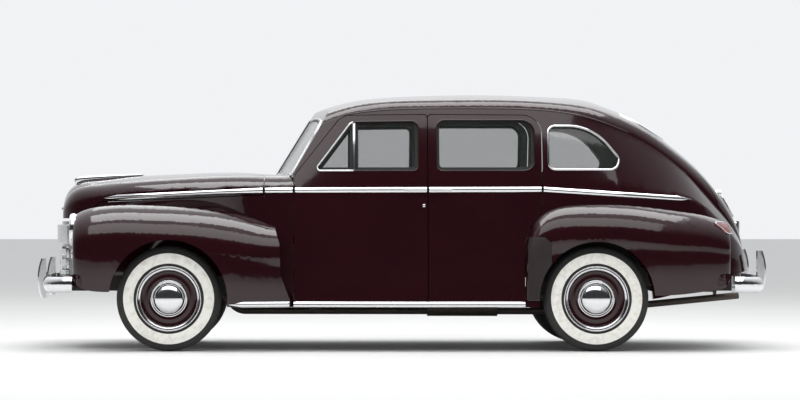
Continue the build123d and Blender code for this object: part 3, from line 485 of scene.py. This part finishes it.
# Round bead along the skin's edge about a window, or along the pane's own edge where reach is 0
def bead(name, node, facing, pane, reach, radius, material, lift=(0, 0, 0), ahead=None):
    piece = copied(name, node, "FACE")
    keepFaces(piece, facing)
    bpy.ops.mesh.select_all(action="SELECT")
    bpy.ops.mesh.region_to_loop()
    bpy.ops.mesh.select_mode(type="EDGE")
    bpy.ops.mesh.select_all(action="INVERT")
    bpy.ops.mesh.delete(type="EDGE")
    bpy.ops.mesh.select_all(action="SELECT")
    bpy.ops.mesh.delete(type="ONLY_FACE")
    bpy.ops.mesh.select_mode(type="VERT")
    if reach:
        glassPane = cover[pane]
        choose(piece, "verts", lambda v: (glassPane.closest_point_on_mesh(v.co)[1] - v.co).length > reach)
        bpy.ops.mesh.delete(type="VERT")
    prune(piece, shortestBead)
    if ahead is not None:
        cutAt((ahead, 0, 0), (1, 0, 0), inner=True)
    leave()
    only(piece)
    bpy.ops.object.convert(target="CURVE")
    piece = bpy.context.object
    piece.data.bevel_depth = radius
    piece.data.bevel_resolution = 3
    piece.data.use_fill_caps = True
    bpy.ops.object.convert(target="MESH")
    piece = bpy.context.object
    piece.location = lift
    outwards(piece)
    slotName = {chrome: "chrome_plate", maroon: "body_paint"}.get(material, "tyre_rubber")
    return finishUp(piece, name, material, bodyOf[node], slotName, 60)


# Thin sheet laid on a node's skin: a copy of its faces, cut by planes and raised
def skinPatch(name, node, keep, planes, stand, material, slotName):
    piece = copied(name, node, "FACE")
    for place, out in planes:
        cutAt(place, out, outer=True)
    keepFaces(piece, keep)
    leave()
    bpy.ops.mesh.customdata_custom_splitnormals_clear()
    thicken(piece, stand, 0)
    finishUp(piece, name, material, bodyOf[node], slotName, 40)
    evenOut(piece)
    return piece


# Channel that holds a flat pane: the pane's outer face, with its middle taken out
def paneBorder(name, pane, keep, sizes, material):
    piece = copied(name, pane, "FACE")
    keepFaces(piece, keep)
    bpy.ops.mesh.select_all(action="SELECT")
    bpy.ops.mesh.dissolve_limited(angle_limit=radians(2))
    bpy.ops.mesh.select_all(action="SELECT")
    bpy.ops.mesh.inset(thickness=sizes["width"], use_individual=True)
    bpy.ops.mesh.delete(type="FACE")
    leave()
    bpy.ops.mesh.customdata_custom_splitnormals_clear()
    thicken(piece, sizes["stand"], sizes["edge"])
    return finishUp(piece, name, material, bodyOf[pane], "tyre_rubber", 40)


# Camera at the photograph's place, lights, floor

view = {"place": (0.562, 20.9, 0.95), "lens": 133.5, "shift": (0.10, 0.014)}
lights = {
    "overhead": {"place": (0.0, 0.6, 7.0), "aim": (0, 0, 0.6), "size": (9.0, 3.0), "power": 420},
    "nearSide": {"place": (1.0, 7.0, 9.0), "aim": (0, 0, 0.8), "size": (14.0, 5.0), "power": 420},
    "farSide": {"place": (-2.0, -7.0, 9.0), "aim": (0, 0, 0.8), "size": (14.0, 5.0), "power": 320},
}


# Height in the sky and away from the street, with the brightness there
sky = [(0.0, 0.04), (1.0, 1.25), (0.15, 0.09), (0.45, 0.5)]
skyLean = -0.55
skyTint = (0.96, 0.98, 1.0)
backdrop = (0.88, 0.89, 0.91, 1)
floorTones = ((0.60, 0.60, 0.59, 1), (0.64, 0.64, 0.63, 1))


def makeCamera():
    bpy.ops.object.camera_add(location=view["place"], rotation=(pi / 2, 0, pi))
    camera = bpy.context.object
    camera.data.lens = view["lens"]
    camera.data.shift_x, camera.data.shift_y = view["shift"]
    camera.data.clip_end = 200
    bpy.context.scene.camera = camera


def makeLights():
    for name, spec in lights.items():
        bpy.ops.object.light_add(type="AREA", location=spec["place"])
        lamp = bpy.context.object
        lamp.name = name
        lamp.data.shape = "RECTANGLE"
        lamp.data.size, lamp.data.size_y = spec["size"]
        lamp.data.energy = spec["power"]
        aim = Vector(spec["aim"]) - Vector(spec["place"])
        lamp.rotation_euler = aim.to_track_quat("-Z", "Y").to_euler()


# White to the camera. What the paint mirrors is a pale sky over a dim street
def makeWorld():
    world = bpy.data.worlds.new("paleStudio")
    bpy.context.scene.world = world
    world.use_nodes = True
    tree = world.node_tree
    back = tree.nodes["Background"]
    place = tree.nodes.new("ShaderNodeTexCoord")
    split = tree.nodes.new("ShaderNodeSeparateXYZ")
    ramp = tree.nodes.new("ShaderNodeValToRGB")
    rays = tree.nodes.new("ShaderNodeLightPath")
    mix = tree.nodes.new("ShaderNodeMix")
    mix.data_type = "RGBA"
    tree.links.new(place.outputs["Generated"], split.inputs["Vector"])
    lean = tree.nodes.new("ShaderNodeMath")
    lean.operation = "MULTIPLY_ADD"
    tree.links.new(split.outputs["Y"], lean.inputs[0])
    lean.inputs[1].default_value = skyLean
    tree.links.new(split.outputs["Z"], lean.inputs[2])
    tree.links.new(lean.outputs[0], ramp.inputs["Fac"])
    stops = ramp.color_ramp.elements
    for index, (position, level) in enumerate(sky):
        stop = stops[index] if index < 2 else stops.new(position)
        stop.position = position
        stop.color = [level * part for part in skyTint] + [1]
    tree.links.new(rays.outputs["Is Glossy Ray"], mix.inputs[0])
    mix.inputs[6].default_value = backdrop
    tree.links.new(ramp.outputs["Color"], mix.inputs[7])
    tree.links.new(mix.outputs[2], back.inputs["Color"])


def makeFloor():
    bpy.ops.object.select_all(action="DESELECT")
    bpy.ops.mesh.primitive_plane_add(size=160)
    floor = bpy.context.object
    floor.name = "paleFloor"
    finish = Finish("paleFloor")
    tone = finish.blend(finish.noise(0.6, 3.0), *floorTones)
    floor.data.materials.append(finish.surface(Base_Color=tone, Roughness=0.85))


makeCamera()
makeLights()
makeWorld()
makeFloor()
bpy.context.scene.view_settings.view_transform = "Standard"
print("camera and studio ready")


# Panels and mechanical pieces that keep their CAD shape

barEdge = 0.007  # rounding of the grille's bars
# Node, piece, finish and the angle in degrees up to which it is shaded smooth
dressed = [
    ("floor_pan", "floorPan", frameBlack, 30),
    ("hood", "hoodPanel", maroon, 40),
    ("hood_side_panels", "hoodSides", maroon, 40),
    ("front_fenders", "frontFenders", maroon, 40),
    ("rear_fenders", "rearFenders", maroon, 40),
    ("nose_panel", "nosePanel", maroon, 40),
    ("lamp_bezels", "lampBezels", chrome, 35),
    ("lamp_lenses", "lampLenses", lensGlass, 30),
    ("tail_lamps", "tailLenses", tailRed, 30),
    ("grille", "grilleBars", chrome, 35),
    ("front_bumper", "frontBumper", chrome, 45),
    ("rear_bumper", "rearBumper", chrome, 45),
    ("body_glass", "bodyGlass", glass, 30),
    ("chassis_frame", "frameRails", frameBlack, 30),
    ("front_axle", "frontAxle", forged, 35),
    ("rear_axle", "rearAxle", forged, 35),
    ("engine", "engineBlock", castIron, 30),
    ("radiator", "radiatorCore", frameBlack, 30),
    ("exhaust", "exhaustPipe", forged, 35),
    ("fuel_tank", "fuelTank", frameBlack, 30),
    ("dashboard", "dashBoard", dashPaint, 35),
    ("trunk_lid", "trunkLid", maroon, 40),
    ("trunk_trim", "trunkGrip", chrome, 35),
    ("steering_wheel", "steeringRim", dashPaint, 60),
    ("knuckle_left", "knuckleLeft", forged, 35),
    ("knuckle_right", "knuckleRight", forged, 35),
]
for node, name, material, angle in dressed:
    dress(node, name, material, angle, barEdge if node == "grille" else 0)


cabin = {"rear": -1.7, "cowl": 0.85, "floor": 0.36, "middle": ((-1.2, 0.5), 1.15), "turned": 0.35}
carpeted = {"rear": -1.5, "front": 0.9, "level": 0.4}


# A second finish on the faces that look into the cabin
def lineInside(piece, material, test):
    piece.data.materials.append(material)
    for face in piece.data.polygons:
        if test(face.center, face.normal):
            face.material_index = 1


def looksIn(centre, normal):
    (rear, front), height = cabin["middle"]
    inwards = Vector((min(max(centre.x, rear), front), 0, height)) - centre
    inside = cabin["rear"] < centre.x < cabin["cowl"] and centre.z > cabin["floor"]
    return inside and normal.dot(inwards) > cabin["turned"] * inwards.length


def onFloor(centre, normal):
    return normal.z > carpeted["level"] and carpeted["rear"] < centre.x < carpeted["front"]


lineInside(cover["floor_pan"], carpet, onFloor)
shell = dress("body_shell", "bodyShell", maroon, 40)
lineInside(shell, liner, looksIn)
for end in ("front", "rear"):
    for side in ("left", "right"):
        word = end + side.capitalize()
        door = dress("door_" + end + "_" + side, word + "Door", maroon, 40)
        lineInside(door, liner, looksIn)
        dress("glass_" + end + "_" + side, word + "Glass", glass, 30)
        dress("trim_" + end + "_" + side, word + "Handle", chrome, 40)
print("panels dressed")


# Wheels: tyre with a white wall, painted disc, chrome trim ring and cap
# Profiles of turned pieces, here and below: radius, and place along the axis
wheels = {
    "tyre": [(0.2242, -0.064), (0.2242, -0.050), (0.236, -0.066), (0.258, -0.0755), (0.283, -0.079),
             (0.308, -0.0765), (0.330, -0.069), (0.343, -0.0625), (0.3505, -0.0535), (0.3535, -0.044),
             (0.3535, -0.036), (0.3470, -0.035), (0.3470, -0.031), (0.3555, -0.030), (0.3562, -0.014),
             (0.3485, -0.013), (0.3485, -0.009), (0.3569, -0.008), (0.3569, 0.008), (0.3485, 0.009),
             (0.3485, 0.013), (0.3562, 0.014), (0.3555, 0.030), (0.3470, 0.031), (0.3470, 0.035),
             (0.3535, 0.036), (0.3535, 0.044), (0.3505, 0.0535), (0.343, 0.0625), (0.330, 0.069),
             (0.3092, 0.0765), (0.3084, 0.0782), (0.283, 0.0800), (0.258, 0.0770), (0.2385, 0.0690),
             (0.2375, 0.0672), (0.2242, 0.064), (0.2052, 0.052), (0.2052, -0.052)],
    "whiteFrom": 0.2380,
    "whiteTo": 0.3086,
    "whiteOut": 0.06,
    "blocks": {"steps": 96, "from": 0.3530, "inner": 0.012, "outer": 0.050, "gap": 0.0015, "deep": 0.005},
    "disc": [(0.0225, -0.028), (0.132, -0.028), (0.142, -0.034), (0.150, -0.030), (0.150, 0.020),
             (0.165, 0.016), (0.190, 0.006), (0.191, -0.058), (0.214, -0.068), (0.2225, -0.067),
             (0.2235, -0.061), (0.2055, -0.057), (0.2045, 0.050), (0.2055, 0.057), (0.2225, 0.061),
             (0.2235, 0.066), (0.218, 0.070), (0.205, 0.064), (0.190, 0.048), (0.183, 0.036),
             (0.170, 0.033), (0.150, 0.037), (0.130, 0.036), (0.110, 0.030), (0.040, 0.028), (0.0225, 0.020)],
    "outerRing": [(0.2212, 0.0640), (0.2222, 0.0700), (0.2200, 0.0740), (0.2160, 0.0748), (0.2125, 0.0728),
                  (0.2112, 0.0690), (0.2112, 0.0640)],
    "innerRing": [(0.2050, 0.0620), (0.2058, 0.0690), (0.2030, 0.0715), (0.1985, 0.0700), (0.1935, 0.0640),
                  (0.1895, 0.0560), (0.1880, 0.0500), (0.1900, 0.0470), (0.1980, 0.0550)],
    "cap": [(0.0, 0.0890), (0.018, 0.0884), (0.036, 0.0862), (0.054, 0.0820), (0.072, 0.0755),
            (0.088, 0.0665), (0.099, 0.0570), (0.1055, 0.0485), (0.1085, 0.0450), (0.1120, 0.0445),
            (0.1190, 0.0462), (0.1240, 0.0455), (0.1262, 0.0425), (0.1262, 0.0385), (0.1180, 0.0370),
            (0.0, 0.0370)],
}


# Every other face of the outer ribs sinks in, which leaves blocks between them
def treadBlocks(tyre, centre):
    blocks = wheels["blocks"]
    edit(tyre, "FACE")
    step = 2 * pi / blocks["steps"]

    def onRib(face):
        reach = face.calc_center_median() - centre
        turn = int((atan2(reach.x, reach.z) + pi) / step)
        across = blocks["inner"] < abs(reach.y) < blocks["outer"]
        return turn % 2 == 0 and reach.xz.length > blocks["from"] and across

    choose(tyre, "faces", onRib)
    bpy.ops.mesh.inset(thickness=blocks["gap"], depth=-blocks["deep"], use_individual=True)
    leave()


def makeWheel(end):
    body = "wheel_" + end + "_left"
    centre = Vector(jointOf[body + "_spin"]["pos_m"])
    place = (centre, (0, 1, 0), (0, 0, 1))
    tyre = spun(end + "TyreLeft", wheels["tyre"], *place, tyreBlack, body, "tyre_rubber", 96, 30)
    treadBlocks(tyre, centre)
    tyre.data.materials.append(wallWhite)
    for face in tyre.data.polygons:
        radius = (face.center - centre).xz.length
        if face.center.y > centre.y + wheels["whiteOut"] and wheels["whiteFrom"] < radius < wheels["whiteTo"]:
            face.material_index = 1
    disc = spun(end + "DiscLeft", wheels["disc"], *place, wheelMaroon, body, "wheel_paint", 72, 40)
    rings = [spun(end + word + "Left", wheels[profile], *place, chrome, body, "chrome_plate", 96, 50)
             for word, profile in (("OuterRing", "outerRing"), ("InnerRing", "innerRing"))]
    cap = spun(end + "CapLeft", wheels["cap"], *place, chrome, body, "chrome_plate", 72, 50)
    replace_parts(tyre, "tyre_" + end + "_left")
    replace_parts(disc, body)
    other = "wheel_" + end + "_right"
    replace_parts(mirrored(tyre, end + "TyreRight", other), "tyre_" + end + "_right")
    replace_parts(mirrored(disc, end + "DiscRight", other), other)
    for ring, word in zip(rings, ("OuterRing", "InnerRing")):
        mirrored(ring, end + word + "Right", other)
    mirrored(cap, end + "CapRight", other)


for end in ("front", "rear"):
    makeWheel(end)
print("wheels made")


# Mouldings along the sides: chrome belt and sill, and a drip rail in body paint
belt = {"height": 0.030, "stand": 0.012, "edge": 0.002}
# Word in the name, left node, right node, x and z of the front and rear end, cuts, pointed end
beltRuns = [
    ("frontDoor", "door_front_left", "door_front_right", (0.732, 1.093), (-0.163, 1.095), 20, None),
    ("rearDoor", "door_rear_left", "door_rear_right", (-0.177, 1.095), (-0.941, 1.097), 20, None),
    ("quarter", "body_shell", None, (-0.955, 1.097), (-1.975, 1.031), 34, -1),
    ("hood", "hood", None, (2.060, 1.041), (0.951, 1.091), 34, 1),
    ("cowl", "body_shell", None, (0.936, 1.091), (0.747, 1.093), 6, None),
]


def makeBelt():
    for word, node, farNode, front, rear, cuts, point in beltRuns:
        sizes = (belt["height"], belt["stand"], belt["edge"])
        piece = sideStrip(word + "BeltLeft", node, front, rear, *sizes, chrome, cuts, point)
        mirrored(piece, word + "BeltRight", bodyOf[farNode or node])


sill = {"height": 0.030, "stand": 0.014, "edge": 0.002, "z": 0.319}
# Word in the name, node, front x, rear x, pointed end
sillRuns = [("body", "body_shell", 0.742, -0.826, None), ("fender", "front_fenders", 1.180, 0.770, 1)]


def makeSill():
    sizes = (sill["height"], sill["stand"], sill["edge"])
    for word, node, front, rear, point in sillRuns:
        ends = ((front, sill["z"]), (rear, sill["z"]))
        piece = sideStrip(word + "SillLeft", node, *ends, *sizes, chrome, 30, point)
        mirrored(piece, word + "SillRight", "body")


drip = {"radius": 0.005, "out": 1.2,
        "route": [(0.40, 1.606), (0.20, 1.640), (-0.20, 1.652), (-0.80, 1.650), (-1.10, 1.628),
                  (-1.35, 1.575), (-1.55, 1.490)]}


def makeDrip():
    bpy.ops.object.select_all(action="DESELECT")
    bpy.ops.curve.primitive_nurbs_path_add()
    piece = bpy.context.object
    spline = piece.data.splines[0]
    spline.points.add(len(drip["route"]) - len(spline.points))
    for point, (x, z) in zip(spline.points, drip["route"]):
        point.co = (x, drip["out"], z, 1)
    spline.order_u = 3
    spline.use_endpoint_u = True
    spline.resolution_u = 10
    bpy.ops.object.convert(target="MESH")
    piece = bpy.context.object
    wrap(piece, "body_shell")
    only(piece)
    bpy.ops.object.convert(target="CURVE")
    piece = bpy.context.object
    piece.data.bevel_depth = drip["radius"]
    piece.data.use_fill_caps = True
    bpy.ops.object.convert(target="MESH")
    piece = bpy.context.object
    outwards(piece)
    finishUp(piece, "dripRailLeft", maroon, "body", "body_paint", 60)
    mirrored(piece, "dripRailRight", "body")


makeBelt()
makeSill()
makeDrip()
print("side chrome made")


# Beads and channels round the windows
beads = {"shield": 0.007, "side": 0.0045, "quarter": 0.0085, "back": 0.008, "lamp": 0.004, "sideReach": 0.034,
         "backReach": 0.06, "vent": 0.0063, "ventFrom": 0.337, "shieldLift": (0.0064, 0, 0.004)}
channel = {"width": 0.022, "stand": 0.004, "edge": 0.0012}
# Least outward part of the normals of the faces that a bead or channel runs round
outwardOf = {"quarter": 0.06, "door": 0.3, "pane": 0.85, "shield": 0.6, "lens": 0.15, "back": 0.2}
backFrom = -1.4


def makeBeads():
    for word, way in (("Left", 1), ("Right", -1)):
        onSide = lambda f: f.calc_center_median().y * way > 0
        outside = lambda f: f.normal.y * way > outwardOf["quarter"] and onSide(f)
        sizes = (beads["sideReach"], beads["quarter"])
        bead("quarterBead" + word, "body_shell", outside, "body_glass", *sizes, chrome)
        for end in ("front", "rear"):
            name = "_" + end + "_" + word.lower()
            outer = lambda f: f.normal.y * way > outwardOf["door"]
            flat = lambda f: f.normal.y * way > outwardOf["pane"]
            sizes = (beads["sideReach"], beads["side"])
            paneBorder(end + "Channel" + word, "glass" + name, flat, channel, sealBlack)
            bead(end + "Bead" + word, "door" + name, outer, "glass" + name, *sizes, maroon)
        bead("ventBead" + word, "door_front_" + word.lower(), outer, "glass_front_" + word.lower(),
             beads["sideReach"], beads["vent"], chrome, ahead=beads["ventFrom"])
        half = lambda f: f.normal.x > outwardOf["shield"] and onSide(f)
        bead("shieldBead" + word, "body_glass", half, None, 0, beads["shield"], chrome, beads["shieldLift"])
        lens = lambda f: f.normal.x < -outwardOf["lens"] and onSide(f)
        bead("tailBezel" + word, "tail_lamps", lens, None, 0, beads["lamp"], chrome)

    def tail(face):
        slanted = min(-face.normal.x, face.normal.z) > outwardOf["back"]
        return slanted and face.calc_center_median().x < backFrom

    bead("backBead", "body_shell", tail, "body_glass", beads["backReach"], beads["back"], chrome)


makeBeads()
print("window beads made")


# Hood ornament: a slim spear along the crown, with a keel down to the hood
ornament = {"front": (2.292, 0, 1.172), "rear": (1.795, 0, 1.206), "flat": 0.62, "sunk": 0.003,
            "profile": [(0.0, 0.0), (0.009, 0.006), (0.015, 0.020), (0.019, 0.050), (0.0205, 0.100),
                        (0.0195, 0.180), (0.0165, 0.280), (0.0120, 0.380), (0.0070, 0.460), (0.0, 0.498)]}


def makeOrnament():
    front, rear = Vector(ornament["front"]), Vector(ornament["rear"])
    along = (rear - front).normalized()
    place = (front, along, Vector((0, 1, 0)))
    piece = spun("hoodOrnament", ornament["profile"], *place, chrome, "hood", "chrome_plate", 32, 50)
    piece.scale.y = ornament["flat"]
    only(piece)
    bpy.ops.object.transform_apply(location=True, rotation=True, scale=True)
    length = (rear - front).length
    mesh = edit(piece)
    for vert in mesh.verts:
        share = (front.x - vert.co.x) / (front.x - rear.x)
        middle = front.z + share * (rear.z - front.z)
        radius = widthAt(ornament["profile"], share * length)
        if vert.co.z < middle and radius > 0.001:
            ground, _ = hit("hood", (vert.co.x, 0, farOff), (0, 0, -1))
            depth = max(radius, middle - ground.z + ornament["sunk"])
            vert.co.z = middle - min(1.0, (middle - vert.co.z) / radius) * depth
    bmesh.update_edit_mesh(piece.data)
    leave()
    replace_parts(piece, "hood_trim")


def widthAt(profile, along):
    for (before, start), (after, end) in zip(profile, profile[1:]):
        if start <= along <= end:
            return before + (after - before) * (along - start) / (end - start)
    return 0.0


makeOrnament()


# Gravel shields, fuel door, prow boss, locks and plate
shield = {"x": (-0.845, -1.000), "z": (0.352, 0.775), "round": 0.045, "knee": 0.4, "stand": 0.003,
          "outward": 0.25}
fuelDoor = {"x": -1.974, "z": 0.882, "half": (0.066, 0.040), "stand": 0.0018, "edge": 0.0008, "sides": 28,
            "blank": 2.1}
locks = {"front": (-0.143, 0.988)}
lockProfile = [(0.0, 0.006), (0.006, 0.0055), (0.010, 0.0035), (0.012, 0.0), (0.012, -0.002), (0.0, -0.002)]
prow = {"z": 0.965,
        "profile": [(0.0, 0.020), (0.010, 0.0185), (0.019, 0.014), (0.024, 0.007), (0.027, -0.004),
                    (0.0, -0.004)]}
plate = {"z": 0.975, "size": (0.305, 0.155), "stand": 0.012, "rim": 0.012, "thick": 0.004, "round": 0.012,
         "proud": 0.003}


def makeShields():
    (front, rear), (low, high) = shield["x"], shield["z"]
    cut, knee = shield["round"], shield["knee"]
    planes = [
        ((front, 0, 0), (1, 0, 0)), ((rear, 0, 0), (-1, 0, 0)),
        ((0, 0, high), (0, 0, 1)), ((0, 0, low), (0, 0, -1)),
        ((rear + cut, 0, high), (-1, 0, 1)), ((rear + knee * cut, 0, high), (-knee, 0, 1)),
        ((rear, 0, high - knee * cut), (-1, 0, knee)),
    ]
    for word, way in (("Left", 1), ("Right", -1)):
        keep = lambda f: f.normal.y * way > shield["outward"] and f.calc_center_median().y * way > 0
        look = (shield["stand"], shieldBlack, "tyre_rubber")
        skinPatch("gravelShield" + word, "rear_fenders", keep, planes, *look)


def makeFuelDoor():
    x, z = fuelDoor["x"], fuelDoor["z"]
    halfX, halfZ = fuelDoor["half"]
    bpy.ops.object.select_all(action="DESELECT")
    bpy.ops.mesh.primitive_grid_add(x_subdivisions=24, y_subdivisions=20, size=1)
    piece = bpy.context.object
    piece.scale = (fuelDoor["blank"] * halfX, fuelDoor["blank"] * halfZ, 1)
    piece.rotation_euler = (radians(90), 0, pi)
    piece.location = (x, offSide, z)
    bpy.ops.object.transform_apply(location=True, rotation=True, scale=True)
    edit(piece)
    for step in range(fuelDoor["sides"]):
        turn = 2 * pi * step / fuelDoor["sides"]
        edge = Vector((x + halfX * cos(turn), offSide, z + halfZ * sin(turn)))
        out = Vector((cos(turn) / halfX, 0, sin(turn) / halfZ))
        cutAt(edge, out, outer=True)
    leave()
    wrap(piece, "rear_fenders")
    dropMissed(piece)
    thicken(piece, fuelDoor["stand"], fuelDoor["edge"])
    finishUp(piece, "fuelDoor", maroon, "body", "body_paint", 40)


def makeSmallChrome():
    up = Vector((0, 0, 1))
    for end, (x, z) in locks.items():
        body = "door_" + end + "_left"
        place, normal = hit(body, (x, offSide, z), (0, -1, 0))
        across = up.cross(normal).normalized()
        turned = normal.cross(across)
        lock = spun(end + "LockLeft", lockProfile, place, normal, turned, chrome, body, "chrome_plate", 32)
        mirrored(lock, end + "LockRight", "door_" + end + "_right")
    place, normal = hit("hood", (farOff, 0, prow["z"]), (-1, 0, 0))
    across = Vector((0, 1, 0))
    spun("prowBoss", prow["profile"], place, normal, across, chrome, "hood", "chrome_plate", 40, 40)


def makePlate():
    place, normal = hit("trunk_lid", (-farOff, 0, plate["z"]), (1, 0, 0))
    for name, grow, stand, material, slotName in (
        ("plateFrame", plate["rim"], plate["stand"], chrome, "chrome_plate"),
        ("plateBlank", 0.0, plate["stand"] + plate["proud"], wallWhite, "dash_paint"),
    ):
        bpy.ops.object.select_all(action="DESELECT")
        bpy.ops.mesh.primitive_cube_add(size=1)
        piece = bpy.context.object
        wide, tall = plate["size"][0] + grow, plate["size"][1] + grow
        piece.scale = (plate["thick"], wide, tall)
        bpy.ops.object.transform_apply(location=True, rotation=True, scale=True)
        edit(piece, "EDGE")
        choose(piece, "edges", lambda e: abs(e.verts[0].co.x - e.verts[1].co.x) > plate["thick"] / 2)
        bpy.ops.mesh.bevel(offset=plate["round"], segments=5)
        leave()
        lean = Vector((-normal.x, 0, -normal.z))
        piece.rotation_euler = (0, atan2(-lean.z, lean.x), 0)
        piece.location = place + normal * stand
        finishUp(piece, name, material, "trunk_lid", slotName, 30)


makeShields()
makeFuelDoor()
makeSmallChrome()
makePlate()
print("small outside pieces made")


# Headlamps: chrome dish behind the lens and a bright rim
headlamp = {"x": 2.2402, "y": 0.662, "z": 0.823,
            "dish": [(0.0, 0.0003), (0.05, 0.0006), (0.09, 0.0016), (0.0915, 0.0016), (0.0915, 0.0001),
                     (0.0, 0.0001)],
            "rim": [(0.1086, -0.014), (0.1125, -0.010), (0.1135, 0.000), (0.1120, 0.012), (0.1070, 0.0225),
                    (0.1000, 0.0260), (0.0945, 0.0245), (0.0925, 0.0205), (0.1086, 0.0202)]}
parkingLamp = {"y": 0.655, "z": 0.655, "sunk": 0.002,
               "rim": [(0.0, 0.0), (0.043, 0.0), (0.046, 0.004), (0.045, 0.012), (0.040, 0.016),
                       (0.035, 0.013), (0.0, 0.013)],
               "lens": [(0.0, 0.0250), (0.012, 0.0243), (0.024, 0.0215), (0.034, 0.0160), (0.036, 0.0132),
                        (0.0, 0.0132)]}


def makeLamps():
    forward, up = (1, 0, 0), (0, 0, 1)
    plated, glazed = (chrome, "body", "chrome_plate"), (lensGlass, "body", "lamp_glass")
    centre = (headlamp["x"], headlamp["y"], headlamp["z"])
    dish = spun("lampDishLeft", headlamp["dish"], centre, forward, up, *plated, 48)
    rim = spun("lampRimLeft", headlamp["rim"], centre, forward, up, *plated, 72, 50)
    place, _ = hit("front_fenders", (farOff, parkingLamp["y"], parkingLamp["z"]), (-1, 0, 0))
    seat = (place.x - parkingLamp["sunk"], parkingLamp["y"], parkingLamp["z"])
    ring = spun("parkRimLeft", parkingLamp["rim"], seat, forward, up, *plated, 48, 50)
    lens = spun("parkLensLeft", parkingLamp["lens"], seat, forward, up, *glazed, 48, 50)
    for piece, name in ((dish, "lampDish"), (rim, "lampRim"), (ring, "parkRim"), (lens, "parkLens")):
        mirrored(piece, name + "Right", "body")


makeLamps()
print("lamps made")


# Seats: sewn benches with soft edges, in place of the plain solids
benches = {
    "front_seat": {"half": 0.635, "lean": -0.20, "seams": 10, "seat": ((-0.12, 0.365), (0.47, 0.705)),
                   "back": ((-0.325, -0.12), (0.50, 1.148))},
    "rear_seat": {"half": 0.595, "lean": -0.16, "seams": 9, "seat": ((-1.16, -0.70), (0.60, 0.765)),
                  "back": ((-1.388, -1.17), (0.66, 1.148))},
}
# Height on a backrest, as a share, with the share of its lean there
leanRows = [(0.9, 1.1, 1.0), (0.6, 0.9, 0.72), (0.4, 0.6, 0.46), (0.1, 0.4, 0.2)]
seam = {"half": 0.012, "deep": 0.010, "near": 0.003}


def cushion(name, half, x, z, lean, seams, node):
    bpy.ops.object.select_all(action="DESELECT")
    middle = ((x[0] + x[1]) / 2, 0, (z[0] + z[1]) / 2)
    bpy.ops.mesh.primitive_cube_add(size=1, location=middle)
    piece = bpy.context.object
    piece.scale = (x[1] - x[0], 2 * half, z[1] - z[0])
    bpy.ops.object.transform_apply(location=True, rotation=True, scale=True)
    edit(piece)
    lines = [-half + 2 * half * step / seams for step in range(1, seams)]
    for y in lines:
        for shift in (-seam["half"], 0, seam["half"]):
            cutAt((0, y + shift, 0), (0, 1, 0))
    tall = z[1] - z[0]
    for share in (0.25, 0.5, 0.75):
        cutAt((0, 0, z[0] + tall * share), (0, 0, 1))
        cutAt((x[0] + (x[1] - x[0]) * share, 0, 0), (1, 0, 0))
    choose(piece, "verts", lambda v: min(abs(v.co.y - line) for line in lines) < seam["near"])
    bpy.ops.transform.shrink_fatten(value=-seam["deep"])
    for low, high, share in leanRows:
        choose(piece, "verts", lambda v: z[0] + low * tall < v.co.z <= z[0] + high * tall)
        bpy.ops.transform.translate(value=(lean * share, 0, 0))
    leave()
    soft = piece.modifiers.new("soft", "SUBSURF")
    soft.levels = 2
    soft.render_levels = 2
    finishUp(piece, name, seatCloth, bodyOf[node], slotOf[node], 80)
    return piece


def makeSeats():
    for node, spec in benches.items():
        word = node.split("_")[0]
        seat = cushion(word + "SeatPad", spec["half"], *spec["seat"], 0.0, spec["seams"], node)
        x, z = spec["back"]
        shifted = (x[0] - spec["lean"], x[1] - spec["lean"])
        back = cushion(word + "BackPad", spec["half"], shifted, z, spec["lean"], spec["seams"], node)
        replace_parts(seat, node)
        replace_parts(back, node)


makeSeats()
print("seats made")


# Gauges, with the y and radius of each, and horn ring
gauges = {"z": 1.075, "rows": [(0.375, 0.062), (0.240, 0.036), (0.510, 0.036), (-0.380, 0.050)],
          "rim": [(0.0, 0.004), (0.88, 0.004), (0.92, 0.010), (1.0, 0.008), (1.03, 0.0), (1.0, -0.004),
                  (0.0, -0.004)]}
hornRing = {"profile": [(0.120, 0.020), (0.124, 0.024), (0.128, 0.020), (0.124, 0.016)],
            "button": [(0.0, 0.050), (0.014, 0.048), (0.026, 0.042), (0.033, 0.034), (0.035, 0.030),
                       (0.0, 0.030)]}


def makeCabinDetails():
    for index, (y, radius) in enumerate(gauges["rows"]):
        place, normal = hit("dashboard", (0.0, y, gauges["z"]), (1, 0, 0))
        profile = [(r * radius, u) for r, u in gauges["rim"]]
        across = Vector((0, 1, 0)).cross(normal).normalized()
        spun("gauge" + str(index + 1), profile, place, normal, across, chrome, "body", "chrome_plate", 40, 40)
    joint = jointOf["steering_wheel_turn"]
    axis = Vector(joint["axis"]).normalized()
    place = (Vector(joint["pos_m"]), axis, Vector((0, 1, 0)))
    spun("hornRing", hornRing["profile"], *place, chrome, "steering_wheel", "chrome_plate", 64, 60)
    spun("hornButton", hornRing["button"], *place, dashPaint, "steering_wheel", "dash_paint", 40, 40)


makeCabinDetails()
print("cabin details made")
